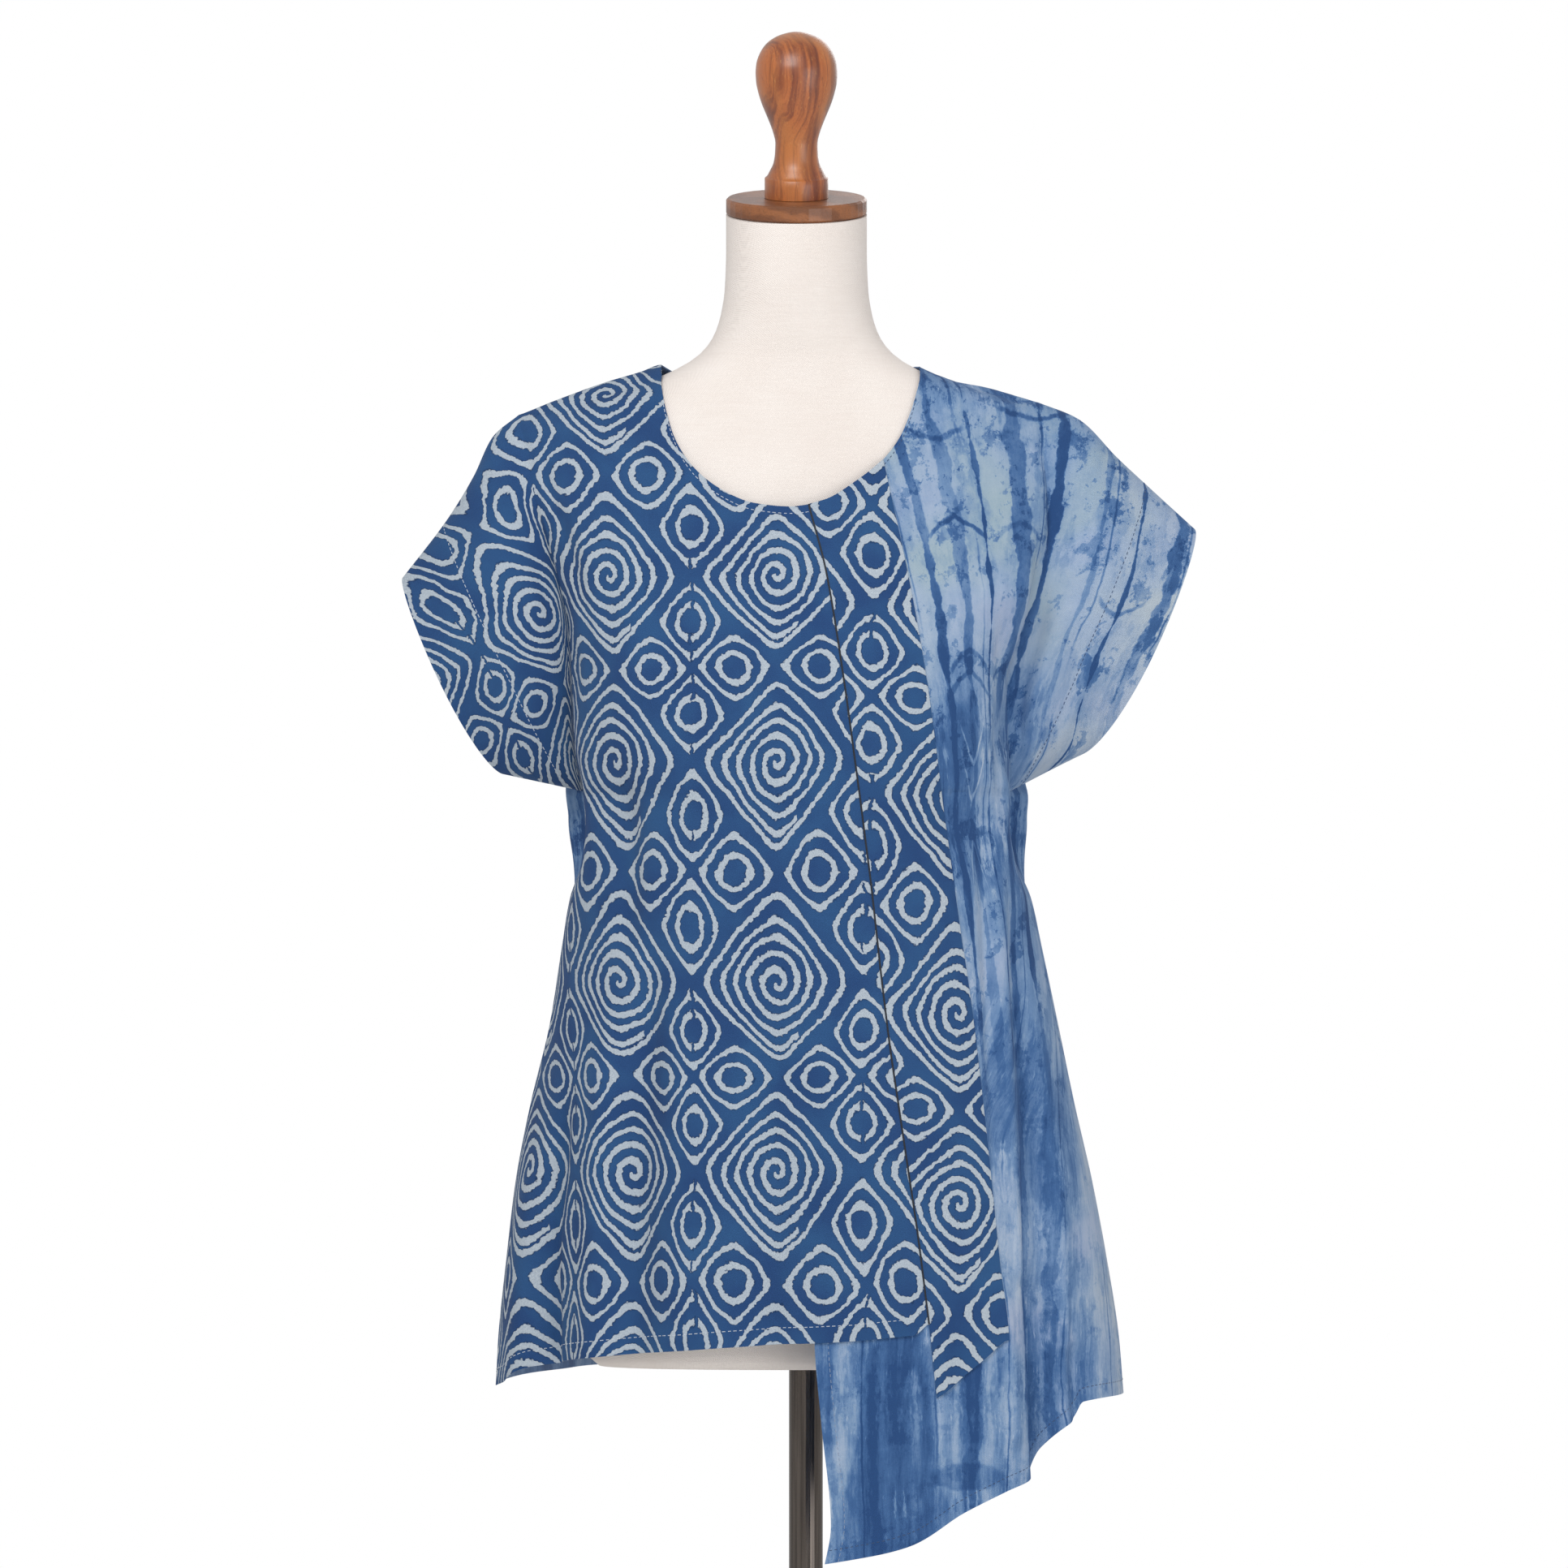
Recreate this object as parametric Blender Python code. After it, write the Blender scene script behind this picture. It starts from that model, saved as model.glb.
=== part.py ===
"""A short-sleeved blouse cut from two cloths, worn by a dress form on a pole.

Lengths are in millimetres here and are scaled to metres when a mesh is made.
The front faces -Y, the origin is the middle of the base plate's underside.
The blouse is worked out about the form's own middle line, x = 0, and is then
moved by FORM_X, because the form stands a little off the pole.
"""
import math
from collections import namedtuple

import bpy
from mathutils import Vector
from mathutils.bvhtree import BVHTree

MM = 0.001
FORM_X = -7.0

# Cloth
WALL = 1.2            # thickness of every cloth wall
SEAM = 0.4            # gap between two pieces that are sewn together
LAYER = 1.9           # how far a piece lies above the one under it, wall middle to wall middle
CLEAR = 2.0           # least distance from the form to the middle of a wall
SQUARE = 2.4          # squareness of the body's sections, 2 would be an ellipse
SETTLE_ROUNDS = 6     # times a wall is checked and moved out where it still cuts the form
ROUND = 140.0         # height over which the shoulder rounds into the chest and back
SIDE_FADE = 0.1       # share of a half front or back over which folds fade out at the side
SEAM_ALONG_X = 0.48   # the seam gap measured along x where the strip's edge slants
LIFT_FROM = -45.0     # x from which the printed front rises to lie over the tie-dye front
LIFT_OVER = 40.0      # width over which it rises
CORNER_SHARE = 0.035  # share of the printed hem that its corner takes
CORNER_RISE = 7.0     # height by which that corner turns up

# Heights and lengths of the cut
UNDERARM = 1051.0
SLEEVE_ROWS = 12      # rows from the shoulder to the underarm
SLEEVE_COLUMNS = 6
BODY_ROWS = 19        # rows from the underarm to the hem
FINE = 120            # steps in which the neckline is read before points are picked on it
PLACES = 3            # decimals to which points must agree to be one
CREASE_ANGLE = math.radians(50.0)

# Stand
FORM_SQUARE = 2.3     # squareness of the form's sections
FORM_STEPS = 36       # sides of the form and of the cap
TURNED_STEPS = 24     # sides of the finial and the pole
BASE_STEPS = 48
RING_SPACE = 45.0     # sections further apart than this get a ring between them
POLE_RADIUS = 12.5
BASE_RADIUS = 190.0
BASE_THICK = 6.0
FORM_BOTTOM = 627.0
CAP_TILT = math.radians(10.0)
CAP_BOTTOM = 1477.0
CAP_THICK = 12.5
CAP_RADIUS = 52.0
NECK_LEAN = -8.0
CAP_EDGE = 1.5        # bevel of the cap
BASE_RIM = 2.0        # bevel of the base plate
GAP = 0.3             # between parts of the stand

# The dress form, a row for each section: half width, depth to the front and to the
# back, forward lean of the middle, and how much of the cap's tilt the section has
Section = namedtuple("Section", "z width front back lean tilt")
FORM = (
    Section(627, 152, 96, 104, 0, 0),
    Section(690, 160, 99, 114, 0, 0),
    Section(760, 161, 99, 116, 0, 0),
    Section(850, 145, 96, 98, 0, 0),
    Section(940, 119, 88, 80, 0, 0),
    Section(1020, 130, 103, 84, 0, 0),
    Section(1095, 146, 126, 92, 0, 0),
    Section(1150, 150, 115, 98, 0, 0),
    Section(1200, 155, 96, 99, 0, 0),
    Section(1250, 166, 77, 94, 0, 0),
    Section(1290, 176, 65, 82, 0, 0),
    Section(1315, 178, 55, 68, 0, 0),
    Section(1334, 166, 47, 56, 0, 0),
    Section(1347, 130, 44, 50, 0, 0),
    Section(1357, 102, 43, 47, 0, 0),
    Section(1365, 85, 43, 46, 0, 0),
    Section(1372, 74, 43, 46, 0, 0.1),
    Section(1380, 66, 43.5, 46, -1, 0.2),
    Section(1390, 60, 45, 46, -2, 0.3),
    Section(1405, 55.5, 47, 46, -3, 0.45),
    Section(1422, 53, 49, 48, -5, 0.65),
    Section(1450, 52, 51, 51, -7, 0.9),
    Section(1477, 52, 52, 52, NECK_LEAN, 1.0),
)

# The blouse's body, a row for each height: where the left and right side seam or
# armhole crease lies, the front and back depth of the middle, and how far the cloth
# rolls out past the side in front and behind
Body = namedtuple("Body", "z left right front back front_roll back_roll")
BODY = (
    Body(480, 237, 253, 143, 136, 0, 0),
    Body(612, 222, 241, 139, 130, 0, 0),
    Body(648, 220, 238, 138, 128, 0, 0),
    Body(706, 214, 229, 136, 125, 0, 0),
    Body(764, 207, 218, 133, 121, 0, 0),
    Body(821, 196, 205, 132, 116, 0, 0),
    Body(879, 182, 193, 131, 110, 0, 0),
    Body(936, 173, 181, 130, 106, 0, 0),
    Body(972, 167, 173, 130, 105, 3, 5),
    Body(1000, 157, 161, 130, 104, 8, 17),
    Body(1030, 151, 153, 130, 104, 12, 27),
    Body(1051, 156, 157, 130, 104, 8, 24),
    Body(1085, 163, 156, 130, 104, 2, 14),
    Body(1129, 165, 154, 125, 104, 0, 4),
    Body(1173, 167, 166, 115, 105, 0, 0),
    Body(1205, 174, 181, 105, 106, 0, 0),
    Body(1240, 183, 185, 90, 105, 0, 0),
    Body(1273, 193, 184, 79, 100, 0, 0),
    Body(1300, 197, 181, 73, 94, 0, 0),
    Body(1329, 205, 179, 66, 88, 0, 0),
    Body(1370, 205, 179, 62, 84, 0, 0),
)

# Lines seen from the front, as x and z
SHOULDER = (
    (-205, 1329), (-176, 1340), (-138, 1354), (-114, 1361), (-100, 1366),
    (90, 1364), (97, 1361), (115, 1354), (141, 1349), (166, 1342), (179, 1338),
)
NECKLINE = (
    (-100, 1366), (-99.5, 1356), (-98, 1343), (-92, 1317), (-79, 1293), (-56, 1273),
    (-30, 1262), (-5, 1259), (20, 1264), (42, 1277), (63, 1294), (78, 1315),
    (86, 1337), (89, 1352), (90, 1364),
)
BACK_NECKLINE = (
    (-100, 1366), (-88, 1360), (-62, 1352), (-30, 1347), (0, 1346), (30, 1347),
    (56, 1352), (79, 1359), (90, 1364),
)
OVERARM = {
    "left": ((-205, 1329), (-224, 1313), (-238, 1284), (-256, 1254), (-290, 1209)),
    "right": ((179, 1338), (208, 1326), (237, 1297), (268, 1268), (293, 1245)),
}
SLEEVE_CORNER = {"left": (-216, 1064), "right": (208, 1078)}
SLEEVE_BOW = {"left": 13.0, "right": 18.0}     # how far the sleeve's hem curves outward

# Edges that run down the front, as z and x
PRINT_EDGE = ((1259, 9), (1208, 22), (1139, 33), (1012, 50), (862, 68), (712, 90), (655, 97))
STRIP_EDGE = ((1294, 63), (1208, 81), (1139, 93), (1012, 110), (862, 131), (703, 148), (600, 158))
UNDER_EDGE = ((1262, 4), (1100, 6), (900, 8), (650, 13), (590, 18), (515, 25), (485, 20))

# Hems: how far round from the middle (0) to the side (1), and z
PRINT_HEM = ((-1.0, 612), (-0.82, 617), (-0.68, 629), (-0.4, 638), (0, 648), (0.3, 658), (0.4, 662))
TIE_DYE_HEM = (
    (0.0, 485), (0.16, 500), (0.27, 524), (0.38, 540), (0.47, 550), (0.52, 570),
    (0.58, 585), (0.64, 593), (0.68, 603), (0.8, 606), (1.0, 607),
)
BACK_HEM = ((-1.0, 612), (-0.8, 616), (-0.5, 622), (0.0, 626), (0.5, 618), (1.0, 607))
STRIP_TIP = (608, 650)          # z of the point, and of the higher corner
STRIP_FOOT = (600, 104)         # z and x to which the strip's left edge runs on
SLEEVE_DEPTH = {"front": (46, 50, 30), "back": (50, 50, 30)}   # at the crease, middle and hem

# Folds that hang from z_top to z_low: x at both ends, width of the cloth that turns in
# on the left and on the right of the trough, and its depth at the bottom
Fold = namedtuple("Fold", "x_top z_top x_low z_low left right depth")
FOLDS = {
    "front": (
        Fold(-165, 830, -190, 620, 13, 20, 11),
        Fold(-118, 1010, -140, 660, 30, 30, 5),
        Fold(-40, 960, -50, 650, 34, 34, 3),
        Fold(165, 860, 182, 560, 6, 17, 17),
        Fold(196, 800, 211, 590, 6, 14, 9),
        Fold(163, 1040, 168, 860, 12, 16, 5),
    ),
    "back": (
        Fold(-150, 960, -180, 620, 18, 18, 11),
        Fold(-85, 1120, -105, 620, 24, 24, 8),
        Fold(-12, 1060, -20, 620, 26, 26, 6),
        Fold(70, 1120, 88, 620, 24, 24, 9),
        Fold(150, 960, 180, 620, 18, 18, 12),
    ),
}

# Finial: height above the cap and radius
FINIAL = (
    (0.3, 23.5), (14.6, 23.5), (16.2, 21.8), (19.5, 20.0), (26, 17.0), (33, 15.9),
    (41, 15.6), (48, 17.1), (56, 19.9), (63, 22.8), (71, 26.0), (79, 28.4), (86, 29.8),
    (93, 30.2), (100, 29.6), (107, 27.2), (114, 22.6), (119.5, 15.0), (122, 8.0),
)
FINIAL_TOP = 123.2


def read(rows, value):
    """A smooth curve through (key, number) rows, read at value."""
    rows = sorted(rows)
    if value <= rows[0][0]:
        return rows[0][1]
    if value >= rows[-1][0]:
        return rows[-1][1]
    at = max(i for i in range(len(rows) - 1) if rows[i][0] <= value)
    slopes = [slope(rows, i) for i in (at, at + 1)]
    step = rows[at + 1][0] - rows[at][0]
    s = (value - rows[at][0]) / step
    return (rows[at][1] * (1 + 2 * s) * (1 - s) ** 2 + rows[at + 1][1] * s * s * (3 - 2 * s)
            + step * s * (1 - s) * (slopes[0] * (1 - s) - slopes[1] * s))


def slope(rows, i):
    """The slope at row i, flat at a peak so that the curve never overshoots."""
    if i in (0, len(rows) - 1):
        a, b = (0, 1) if i == 0 else (i - 1, i)
        return (rows[b][1] - rows[a][1]) / (rows[b][0] - rows[a][0])
    before = (rows[i][1] - rows[i - 1][1]) / (rows[i][0] - rows[i - 1][0])
    after = (rows[i + 1][1] - rows[i][1]) / (rows[i + 1][0] - rows[i][0])
    if before * after <= 0:
        return 0.0
    return 2 * before * after / (before + after)


def column(table, name, z):
    return read([(row.z, getattr(row, name)) for row in table], z)


def smooth(s):
    s = min(max(s, 0.0), 1.0)
    return s * s * (3 - 2 * s)


def mix(a, b, s):
    return a + (b - a) * s


def along(points, count):
    """count + 1 points, evenly spaced on a smooth curve through the points."""
    points = [Vector(p) for p in points]
    marks = [0.0]
    for a, b in zip(points, points[1:]):
        marks.append(marks[-1] + (b - a).length)
    axes = [[(m, p[k]) for m, p in zip(marks, points)] for k in range(len(points[0]))]
    return [Vector([read(rows, marks[-1] * i / count) for rows in axes])
            for i in range(count + 1)]


# The dress form

def form_ring(z, steps):
    tilt = CAP_TILT * column(FORM, "tilt", z)
    ring = []
    for i in range(steps):
        turn = 2 * math.pi * i / steps
        c, s = math.cos(turn), math.sin(turn)
        depth = column(FORM, "back" if s > 0 else "front", z)
        power = 2 / FORM_SQUARE
        x = math.copysign(abs(c) ** power, c) * column(FORM, "width", z)
        y = math.copysign(abs(s) ** power, s) * depth
        ring.append((x, y * math.cos(tilt) + column(FORM, "lean", z), z + y * math.sin(tilt)))
    return ring


def form_rings():
    """Rings at every section, and halfway between those that lie far apart."""
    heights = []
    for a, b in zip(FORM, FORM[1:]):
        heights += [a.z, (a.z + b.z) / 2] if b.z - a.z > RING_SPACE else [a.z]
    return [form_ring(z, FORM_STEPS) for z in heights + [FORM[-1].z]]


def lofted(rings):
    """Vertices and faces of a closed body through rings that run bottom to top."""
    steps = len(rings[0])
    points = [p for ring in rings for p in ring]
    faces = [[i for i in reversed(range(steps))]]
    for r in range(len(rings) - 1):
        for i in range(steps):
            j = (i + 1) % steps
            faces.append([r * steps + i, r * steps + j, (r + 1) * steps + j, (r + 1) * steps + i])
    faces.append([(len(rings) - 1) * steps + i for i in range(steps)])
    return points, faces


FORM_POINTS, FORM_FACES = lofted(form_rings())
FORM_TREE = BVHTree.FromPolygons([Vector(p) for p in FORM_POINTS], FORM_FACES)


def clear_of_form(point):
    """The point, moved out so that it lies at least CLEAR from the form."""
    near, normal, _, distance = FORM_TREE.find_nearest(point)
    inside = (point - near).dot(normal) < 0
    if inside:
        return near + normal * CLEAR
    if distance < CLEAR:
        return near + (point - near).normalized() * CLEAR
    return point


def settled(points, faces):
    """Points moved out until the middles of the triangles and their edges are clear too."""
    spots = [ids for f in faces for ids in (f, f[:2], f[1:], (f[0], f[2]))]
    for _ in range(SETTLE_ROUNDS):
        pushes = [Vector() for _ in points]
        for ids in spots:
            middle = sum((points[i] for i in ids), Vector()) / len(ids)
            push = clear_of_form(middle) - middle
            for i in ids:
                if push.length > pushes[i].length:
                    pushes[i] = push
        points = [p + push for p, push in zip(points, pushes)]
    return points


# The blouse's surface

def crease_depth(face, side, z):
    """How far the armhole crease lies in front of, or behind, the shoulder seam."""
    top = OVERARM[side][0][1]
    if z >= top or z <= UNDERARM:
        return 0.0
    turn = math.acos(1 - 2 * (top - z) / (top - UNDERARM))
    return SLEEVE_DEPTH[face][0] * math.sin(turn)


def body_outline(face, t, z):
    """x and depth of the body at height z, t from -1 at the left side to 1 at the right."""
    side = "left" if t < 0 else "right"
    sign = -1 if t < 0 else 1
    turn = min(abs(t), 1.0) * math.pi / 2
    power = 2 / SQUARE
    x = sign * column(BODY, side, z) * math.sin(turn) ** power
    rest = crease_depth(face, side, z)
    fall = read(SHOULDER, x) - z
    rounding = math.sqrt(max(0.0, 1 - (1 - min(max(fall, 0.0) / ROUND, 1.0)) ** 2))
    middle = column(BODY, face, z) * rounding
    depth = rest + (middle - rest) * max(math.cos(turn), 0.0) ** power
    roll = column(BODY, face + "_roll", z) * math.sin(math.pi * smooth((abs(t) - 0.5) / 0.5)) ** 2
    return x + sign * roll, depth


def folded(face, x, z):
    """How far the folds pull the cloth in at x and z."""
    pull = 0.0
    for fold in FOLDS[face]:
        run = (fold.z_top - z) / (fold.z_top - fold.z_low)
        if run <= 0:
            continue
        off = x - mix(fold.x_top, fold.x_low, run)
        width = fold.left if off < 0 else fold.right
        pull += fold.depth * smooth(run) * math.exp(-(off / width) ** 2)
    return pull


def body_point(face, t, z):
    x, depth = body_outline(face, t, z)
    nudge = 0.004
    xa, da = body_outline(face, max(t - nudge, -1), z)
    xb, db = body_outline(face, min(t + nudge, 1), z)
    run = Vector((xb - xa, db - da)).normalized()
    pull = folded(face, x, z) * smooth((1 - abs(t)) / SIDE_FADE)
    x, depth = x + run.y * pull, depth - run.x * pull
    return clear_of_form(Vector((x, depth if face == "back" else -depth, z)))


def across(x, z):
    """The t of a point of the front or back view."""
    side = "left" if x < 0 else "right"
    share = min(abs(x) / column(BODY, side, z), 1.0)
    return math.copysign(2 / math.pi * math.asin(share ** (SQUARE / 2)), x)


def row_shares(side, hem):
    """Shares of the way down the side at which the rows lie: sleeve rows, then body rows."""
    top = OVERARM[side][0][1]
    shares = []
    for i in range(SLEEVE_ROWS + 1):
        z = top - (top - UNDERARM) * (1 - math.cos(math.pi * i / SLEEVE_ROWS)) / 2
        shares.append((top - z) / (top - hem))
    for i in range(1, BODY_ROWS + 1):
        shares.append(mix(shares[SLEEVE_ROWS], 1.0, i / BODY_ROWS))
    return shares


def body_grid(face, tops, start, end, foot, hem, shares):
    """Rows of points from the top edge to the hem.

    tops are the (x, z) points of the top edge, start and end give the t of the two
    vertical edges at a height, foot says how far along the hem each column lands.
    The first and last columns keep to the vertical edges.
    """
    grid = []
    for share in shares:
        row = []
        for top, landing in zip(tops, foot):
            begun = (across(top[0], top[1]) - start(top[1])) / (end(top[1]) - start(top[1]))
            begun = landing if landing in (0, 1) else begun
            low = hem(mix(start(hem(0)), end(hem(0)), landing))
            z = mix(top[1], low, share)
            part = mix(begun, landing, smooth(share / 0.5))
            row.append(body_point(face, mix(start(z), end(z), part), z))
        grid.append(row)
    return grid


def sleeve_point(face, side, u, turn):
    """u from the crease (0) to the sleeve's hem (1), turn from the overarm to the underarm."""
    sign = -1 if side == "left" else 1
    overarm = along(OVERARM[side], SLEEVE_COLUMNS)
    spot = u * SLEEVE_COLUMNS
    at = min(int(spot), SLEEVE_COLUMNS - 1)
    top = overarm[at].lerp(overarm[at + 1], spot - at)
    under = Vector((sign * column(BODY, side, UNDERARM), UNDERARM))
    low = under.lerp(Vector(SLEEVE_CORNER[side]), u)
    down = (1 - math.cos(turn)) / 2
    flat = top.lerp(low, down)
    flat.x += sign * SLEEVE_BOW[side] * u * math.sin(turn) * (0.7 + 0.5 * down)
    crease_z = mix(overarm[0].y, UNDERARM, down)
    crease, _ = body_outline(face, sign, crease_z)
    straight = mix(overarm[0].x, under.x, down)
    flat.x += (crease - straight) * (1 - u) ** 2
    depths = SLEEVE_DEPTH[face]
    depth = read(((0, depths[0]), (0.4, depths[1]), (1, depths[2])), u) * math.sin(turn)
    point = Vector((flat.x, depth if face == "back" else -depth, flat.y))
    return clear_of_form(point)


def sleeve_grid(face, side, crease):
    """Rows of points out from the crease, whose points the body's grid gives."""
    grid = []
    for i in range(SLEEVE_ROWS + 1):
        turn = math.pi * i / SLEEVE_ROWS
        grid.append([crease[i]] + [sleeve_point(face, side, j / SLEEVE_COLUMNS, turn)
                                   for j in range(1, SLEEVE_COLUMNS + 1)])
    return grid


# From surface to wall

def triangles(grids):
    """Welded points and triangles of grids that share an edge."""
    points, index, faces = [], {}, []

    def number(p):
        key = tuple(round(c, PLACES) for c in p)
        if key not in index:
            index[key] = len(points)
            points.append(Vector(p))
        return index[key]

    for grid in grids:
        ids = [[number(p) for p in row] for row in grid]
        for r in range(len(ids) - 1):
            for c in range(len(ids[0]) - 1):
                a, b, d, e = ids[r][c], ids[r][c + 1], ids[r + 1][c + 1], ids[r + 1][c]
                faces += [f for f in ((a, b, d), (a, d, e)) if len(set(f)) == 3]
    return points, faces


def outward(points, faces, away):
    """The triangles turned to face away, and the normal at each point."""
    normals = [Vector() for _ in points]
    total = Vector()
    for f in faces:
        total += (points[f[1]] - points[f[0]]).cross(points[f[2]] - points[f[0]])
    if total.dot(away) < 0:
        faces = [(f[0], f[2], f[1]) for f in faces]
    for f in faces:
        n = (points[f[1]] - points[f[0]]).cross(points[f[2]] - points[f[0]])
        for i in f:
            normals[i] += n
    return faces, [n.normalized() for n in normals]


def wall(name, grids, face, seams, lift, material):
    """A cloth wall round the grids, lifted off what it lies on."""
    points, faces = triangles(grids)
    away = Vector((0, 1 if face == "back" else -1, 0))
    faces, normals = outward(points, faces, away)
    sewn = {tuple(round(c, PLACES) for c in p) for p in seams}
    sewn = [tuple(round(c, PLACES) for c in p) in sewn for p in points]
    points = settled(points, faces)
    for i, p in enumerate(points):
        if sewn[i]:
            normals[i].y = 0
            normals[i].normalize()
            points[i] = p + away * (SEAM / 2)
    lifts = [lift(p) for p in points]
    outer = [p + n * (h + WALL / 2) for p, n, h in zip(points, normals, lifts)]
    inner = [p + n * (h - WALL / 2) for p, n, h in zip(points, normals, lifts)]
    count = len(points)
    shell = list(faces) + [tuple(i + count for i in reversed(f)) for f in faces]
    edges = {(f[i], f[(i + 1) % 3]) for f in faces for i in range(3)}
    for a, b in edges:
        if (b, a) not in edges:
            shell += [(b, a, a + count), (b, a + count, b + count)]
    return body(name, outer + inner, shell, material, shift=FORM_X)


def body(name, points, faces, material, shift=0.0):
    mesh = bpy.data.meshes.new(name)
    mesh.from_pydata([((p[0] + shift) * MM, p[1] * MM, p[2] * MM) for p in points], [], faces)
    mesh.materials.append(material)
    mesh.shade_smooth()
    mesh.set_sharp_from_angle(angle=CREASE_ANGLE)
    thing = bpy.data.objects.new(name, mesh)
    bpy.context.scene.collection.objects.link(thing)
    return thing


def finish(name, color, roughness, metallic=0.0):
    material = bpy.data.materials.new(name)
    material.use_nodes = True
    shader = material.node_tree.nodes["Principled BSDF"]
    shader.inputs["Base Color"].default_value = (*color, 1)
    shader.inputs["Roughness"].default_value = roughness
    shader.inputs["Metallic"].default_value = metallic
    return material


# The pieces of the blouse

def flat_lift(height):
    return lambda p: height


def shoulder_points(side, count):
    """Points of the shoulder seam from the neck out to the armhole crease."""
    near = NECKLINE[0 if side == "left" else -1][0]
    far = OVERARM[side][0][0]
    return [(mix(near, far, i / count), read(SHOULDER, mix(near, far, i / count)))
            for i in range(count + 1)]


def neckline_points(first, last, count):
    """count + 1 points, evenly spaced on the front neckline between two of its x."""
    fine = along(NECKLINE, FINE)
    ends = [min(range(FINE + 1), key=lambda i: abs(fine[i].x - x)) for x in (first, last)]
    return [tuple(fine[round(mix(*ends, i / count))]) for i in range(count + 1)]


def front_seams(grid, sleeve, neck_columns):
    """The points that are sewn to the back: shoulder, overarm, underarm and side."""
    return (grid[0][neck_columns:] + [row[-1] for row in grid[SLEEVE_ROWS:]]
            + sleeve[0] + sleeve[-1])


def front_batik(material):
    neck, shoulder = 8, 6
    tops = neckline_points(PRINT_EDGE[0][1], NECKLINE[0][0], neck)
    tops += shoulder_points("left", shoulder)[1:]
    columns = neck + shoulder
    foot = [0] + [mix(CORNER_SHARE, 1, i / (columns - 1)) for i in range(columns)]
    corner = across(PRINT_EDGE[-1][1], PRINT_EDGE[-1][0])

    def hem(t):
        return read(PRINT_HEM, t) + CORNER_RISE * (1 - smooth((corner - t) / CORNER_SHARE))

    grid = body_grid("front", tops, lambda z: across(read(PRINT_EDGE, z), z), lambda z: -1.0,
                     foot, hem, row_shares("left", hem(-1)))
    sleeve = sleeve_grid("front", "left", [row[-1] for row in grid])
    seams = front_seams(grid, sleeve, neck)
    return wall("front_batik", [grid, sleeve], "front", seams,
                lambda p: LAYER * smooth((p.x - LIFT_FROM) / LIFT_OVER), material)


def front_tiedye(material):
    neck, shoulder = 8, 8
    tops = neckline_points(UNDER_EDGE[0][1], NECKLINE[-1][0], neck)
    tops += shoulder_points("right", shoulder)[1:]
    foot = (0, 0.09, 0.18, 0.26, 0.33, 0.39, 0.43, 0.465, 0.49, 0.515, 0.55, 0.59, 0.63, 0.66,
            0.70, 0.8, 1.0)

    def hem(t):
        return read(TIE_DYE_HEM, t)

    grid = body_grid("front", tops, lambda z: across(read(UNDER_EDGE, z), z), lambda z: 1.0,
                     foot, hem, row_shares("right", hem(1)))
    sleeve = sleeve_grid("front", "right", [row[-1] for row in grid])
    seams = front_seams(grid, sleeve, neck)
    return wall("front_tiedye", [grid, sleeve], "front", seams, flat_lift(0.0), material)


def front_strip(material):
    columns = 4
    tops = neckline_points(PRINT_EDGE[0][1] + SEAM, STRIP_EDGE[0][1], columns)
    foot = [i / columns for i in range(columns + 1)]
    left = [(z, x + SEAM_ALONG_X) for z, x in PRINT_EDGE] + [STRIP_FOOT]

    def start(z):
        return across(read(left, z), z)

    def end(z):
        return across(read(STRIP_EDGE, z), z)

    def hem(t):
        low, high = start(STRIP_TIP[0]), end(STRIP_TIP[1])
        return mix(STRIP_TIP[0], STRIP_TIP[1], min(max((t - low) / (high - low), 0), 1))

    rows = SLEEVE_ROWS + BODY_ROWS
    grid = body_grid("front", tops, start, end, foot, hem, [i / rows for i in range(rows + 1)])
    return wall("front_strip", [grid], "front", [], flat_lift(LAYER), material)


def back(material):
    neck, shoulder = 10, 6
    tops = list(reversed(shoulder_points("left", shoulder)))
    tops += [tuple(p) for p in along(BACK_NECKLINE, neck)][1:-1]
    tops += shoulder_points("right", shoulder)
    columns = len(tops) - 1

    def hem(t):
        return read(BACK_HEM, t)

    # The rows of the two sides lie at different heights, and blend across the middle
    left, right = row_shares("left", hem(-1)), row_shares("right", hem(1))
    grid = []
    whole = [i / columns for i in range(columns + 1)]
    for a, b in zip(left, right):
        row = body_grid("back", tops, lambda z: -1.0, lambda z: 1.0, whole, hem, [a, b])
        blend = [smooth((s - 0.3) / 0.4) for s in whole]
        grid.append([p.lerp(q, s) for p, q, s in zip(row[0], row[1], blend)])
    sleeves = [sleeve_grid("back", "left", [row[0] for row in grid]),
               sleeve_grid("back", "right", [row[-1] for row in grid])]
    seams = grid[0][:shoulder + 1] + grid[0][-shoulder - 1:]
    seams += [row[i] for row in grid[SLEEVE_ROWS:] for i in (0, -1)]
    seams += [p for sleeve in sleeves for row in (sleeve[0], sleeve[-1]) for p in row]
    mirrored = [[list(reversed(row)) for row in sleeves[0]], grid, sleeves[1]]
    return wall("back", mirrored, "back", seams, flat_lift(0.0), material)


# The stand

def turned(name, profile, steps, material, top=None, place=None):
    """A closed turned body. The profile runs bottom to top as (height, radius)."""
    rings = [[(r * math.cos(2 * math.pi * i / steps), r * math.sin(2 * math.pi * i / steps), h)
              for i in range(steps)] for h, r in profile]
    points, faces = lofted(rings)
    if top is not None:
        faces.pop()
        points.append((0, 0, top))
        last = (len(profile) - 1) * steps
        faces += [(last + i, last + (i + 1) % steps, len(points) - 1) for i in range(steps)]
    if place is not None:
        points = [place(Vector(p)) for p in points]
    return body(name, points, faces, material)


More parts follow.
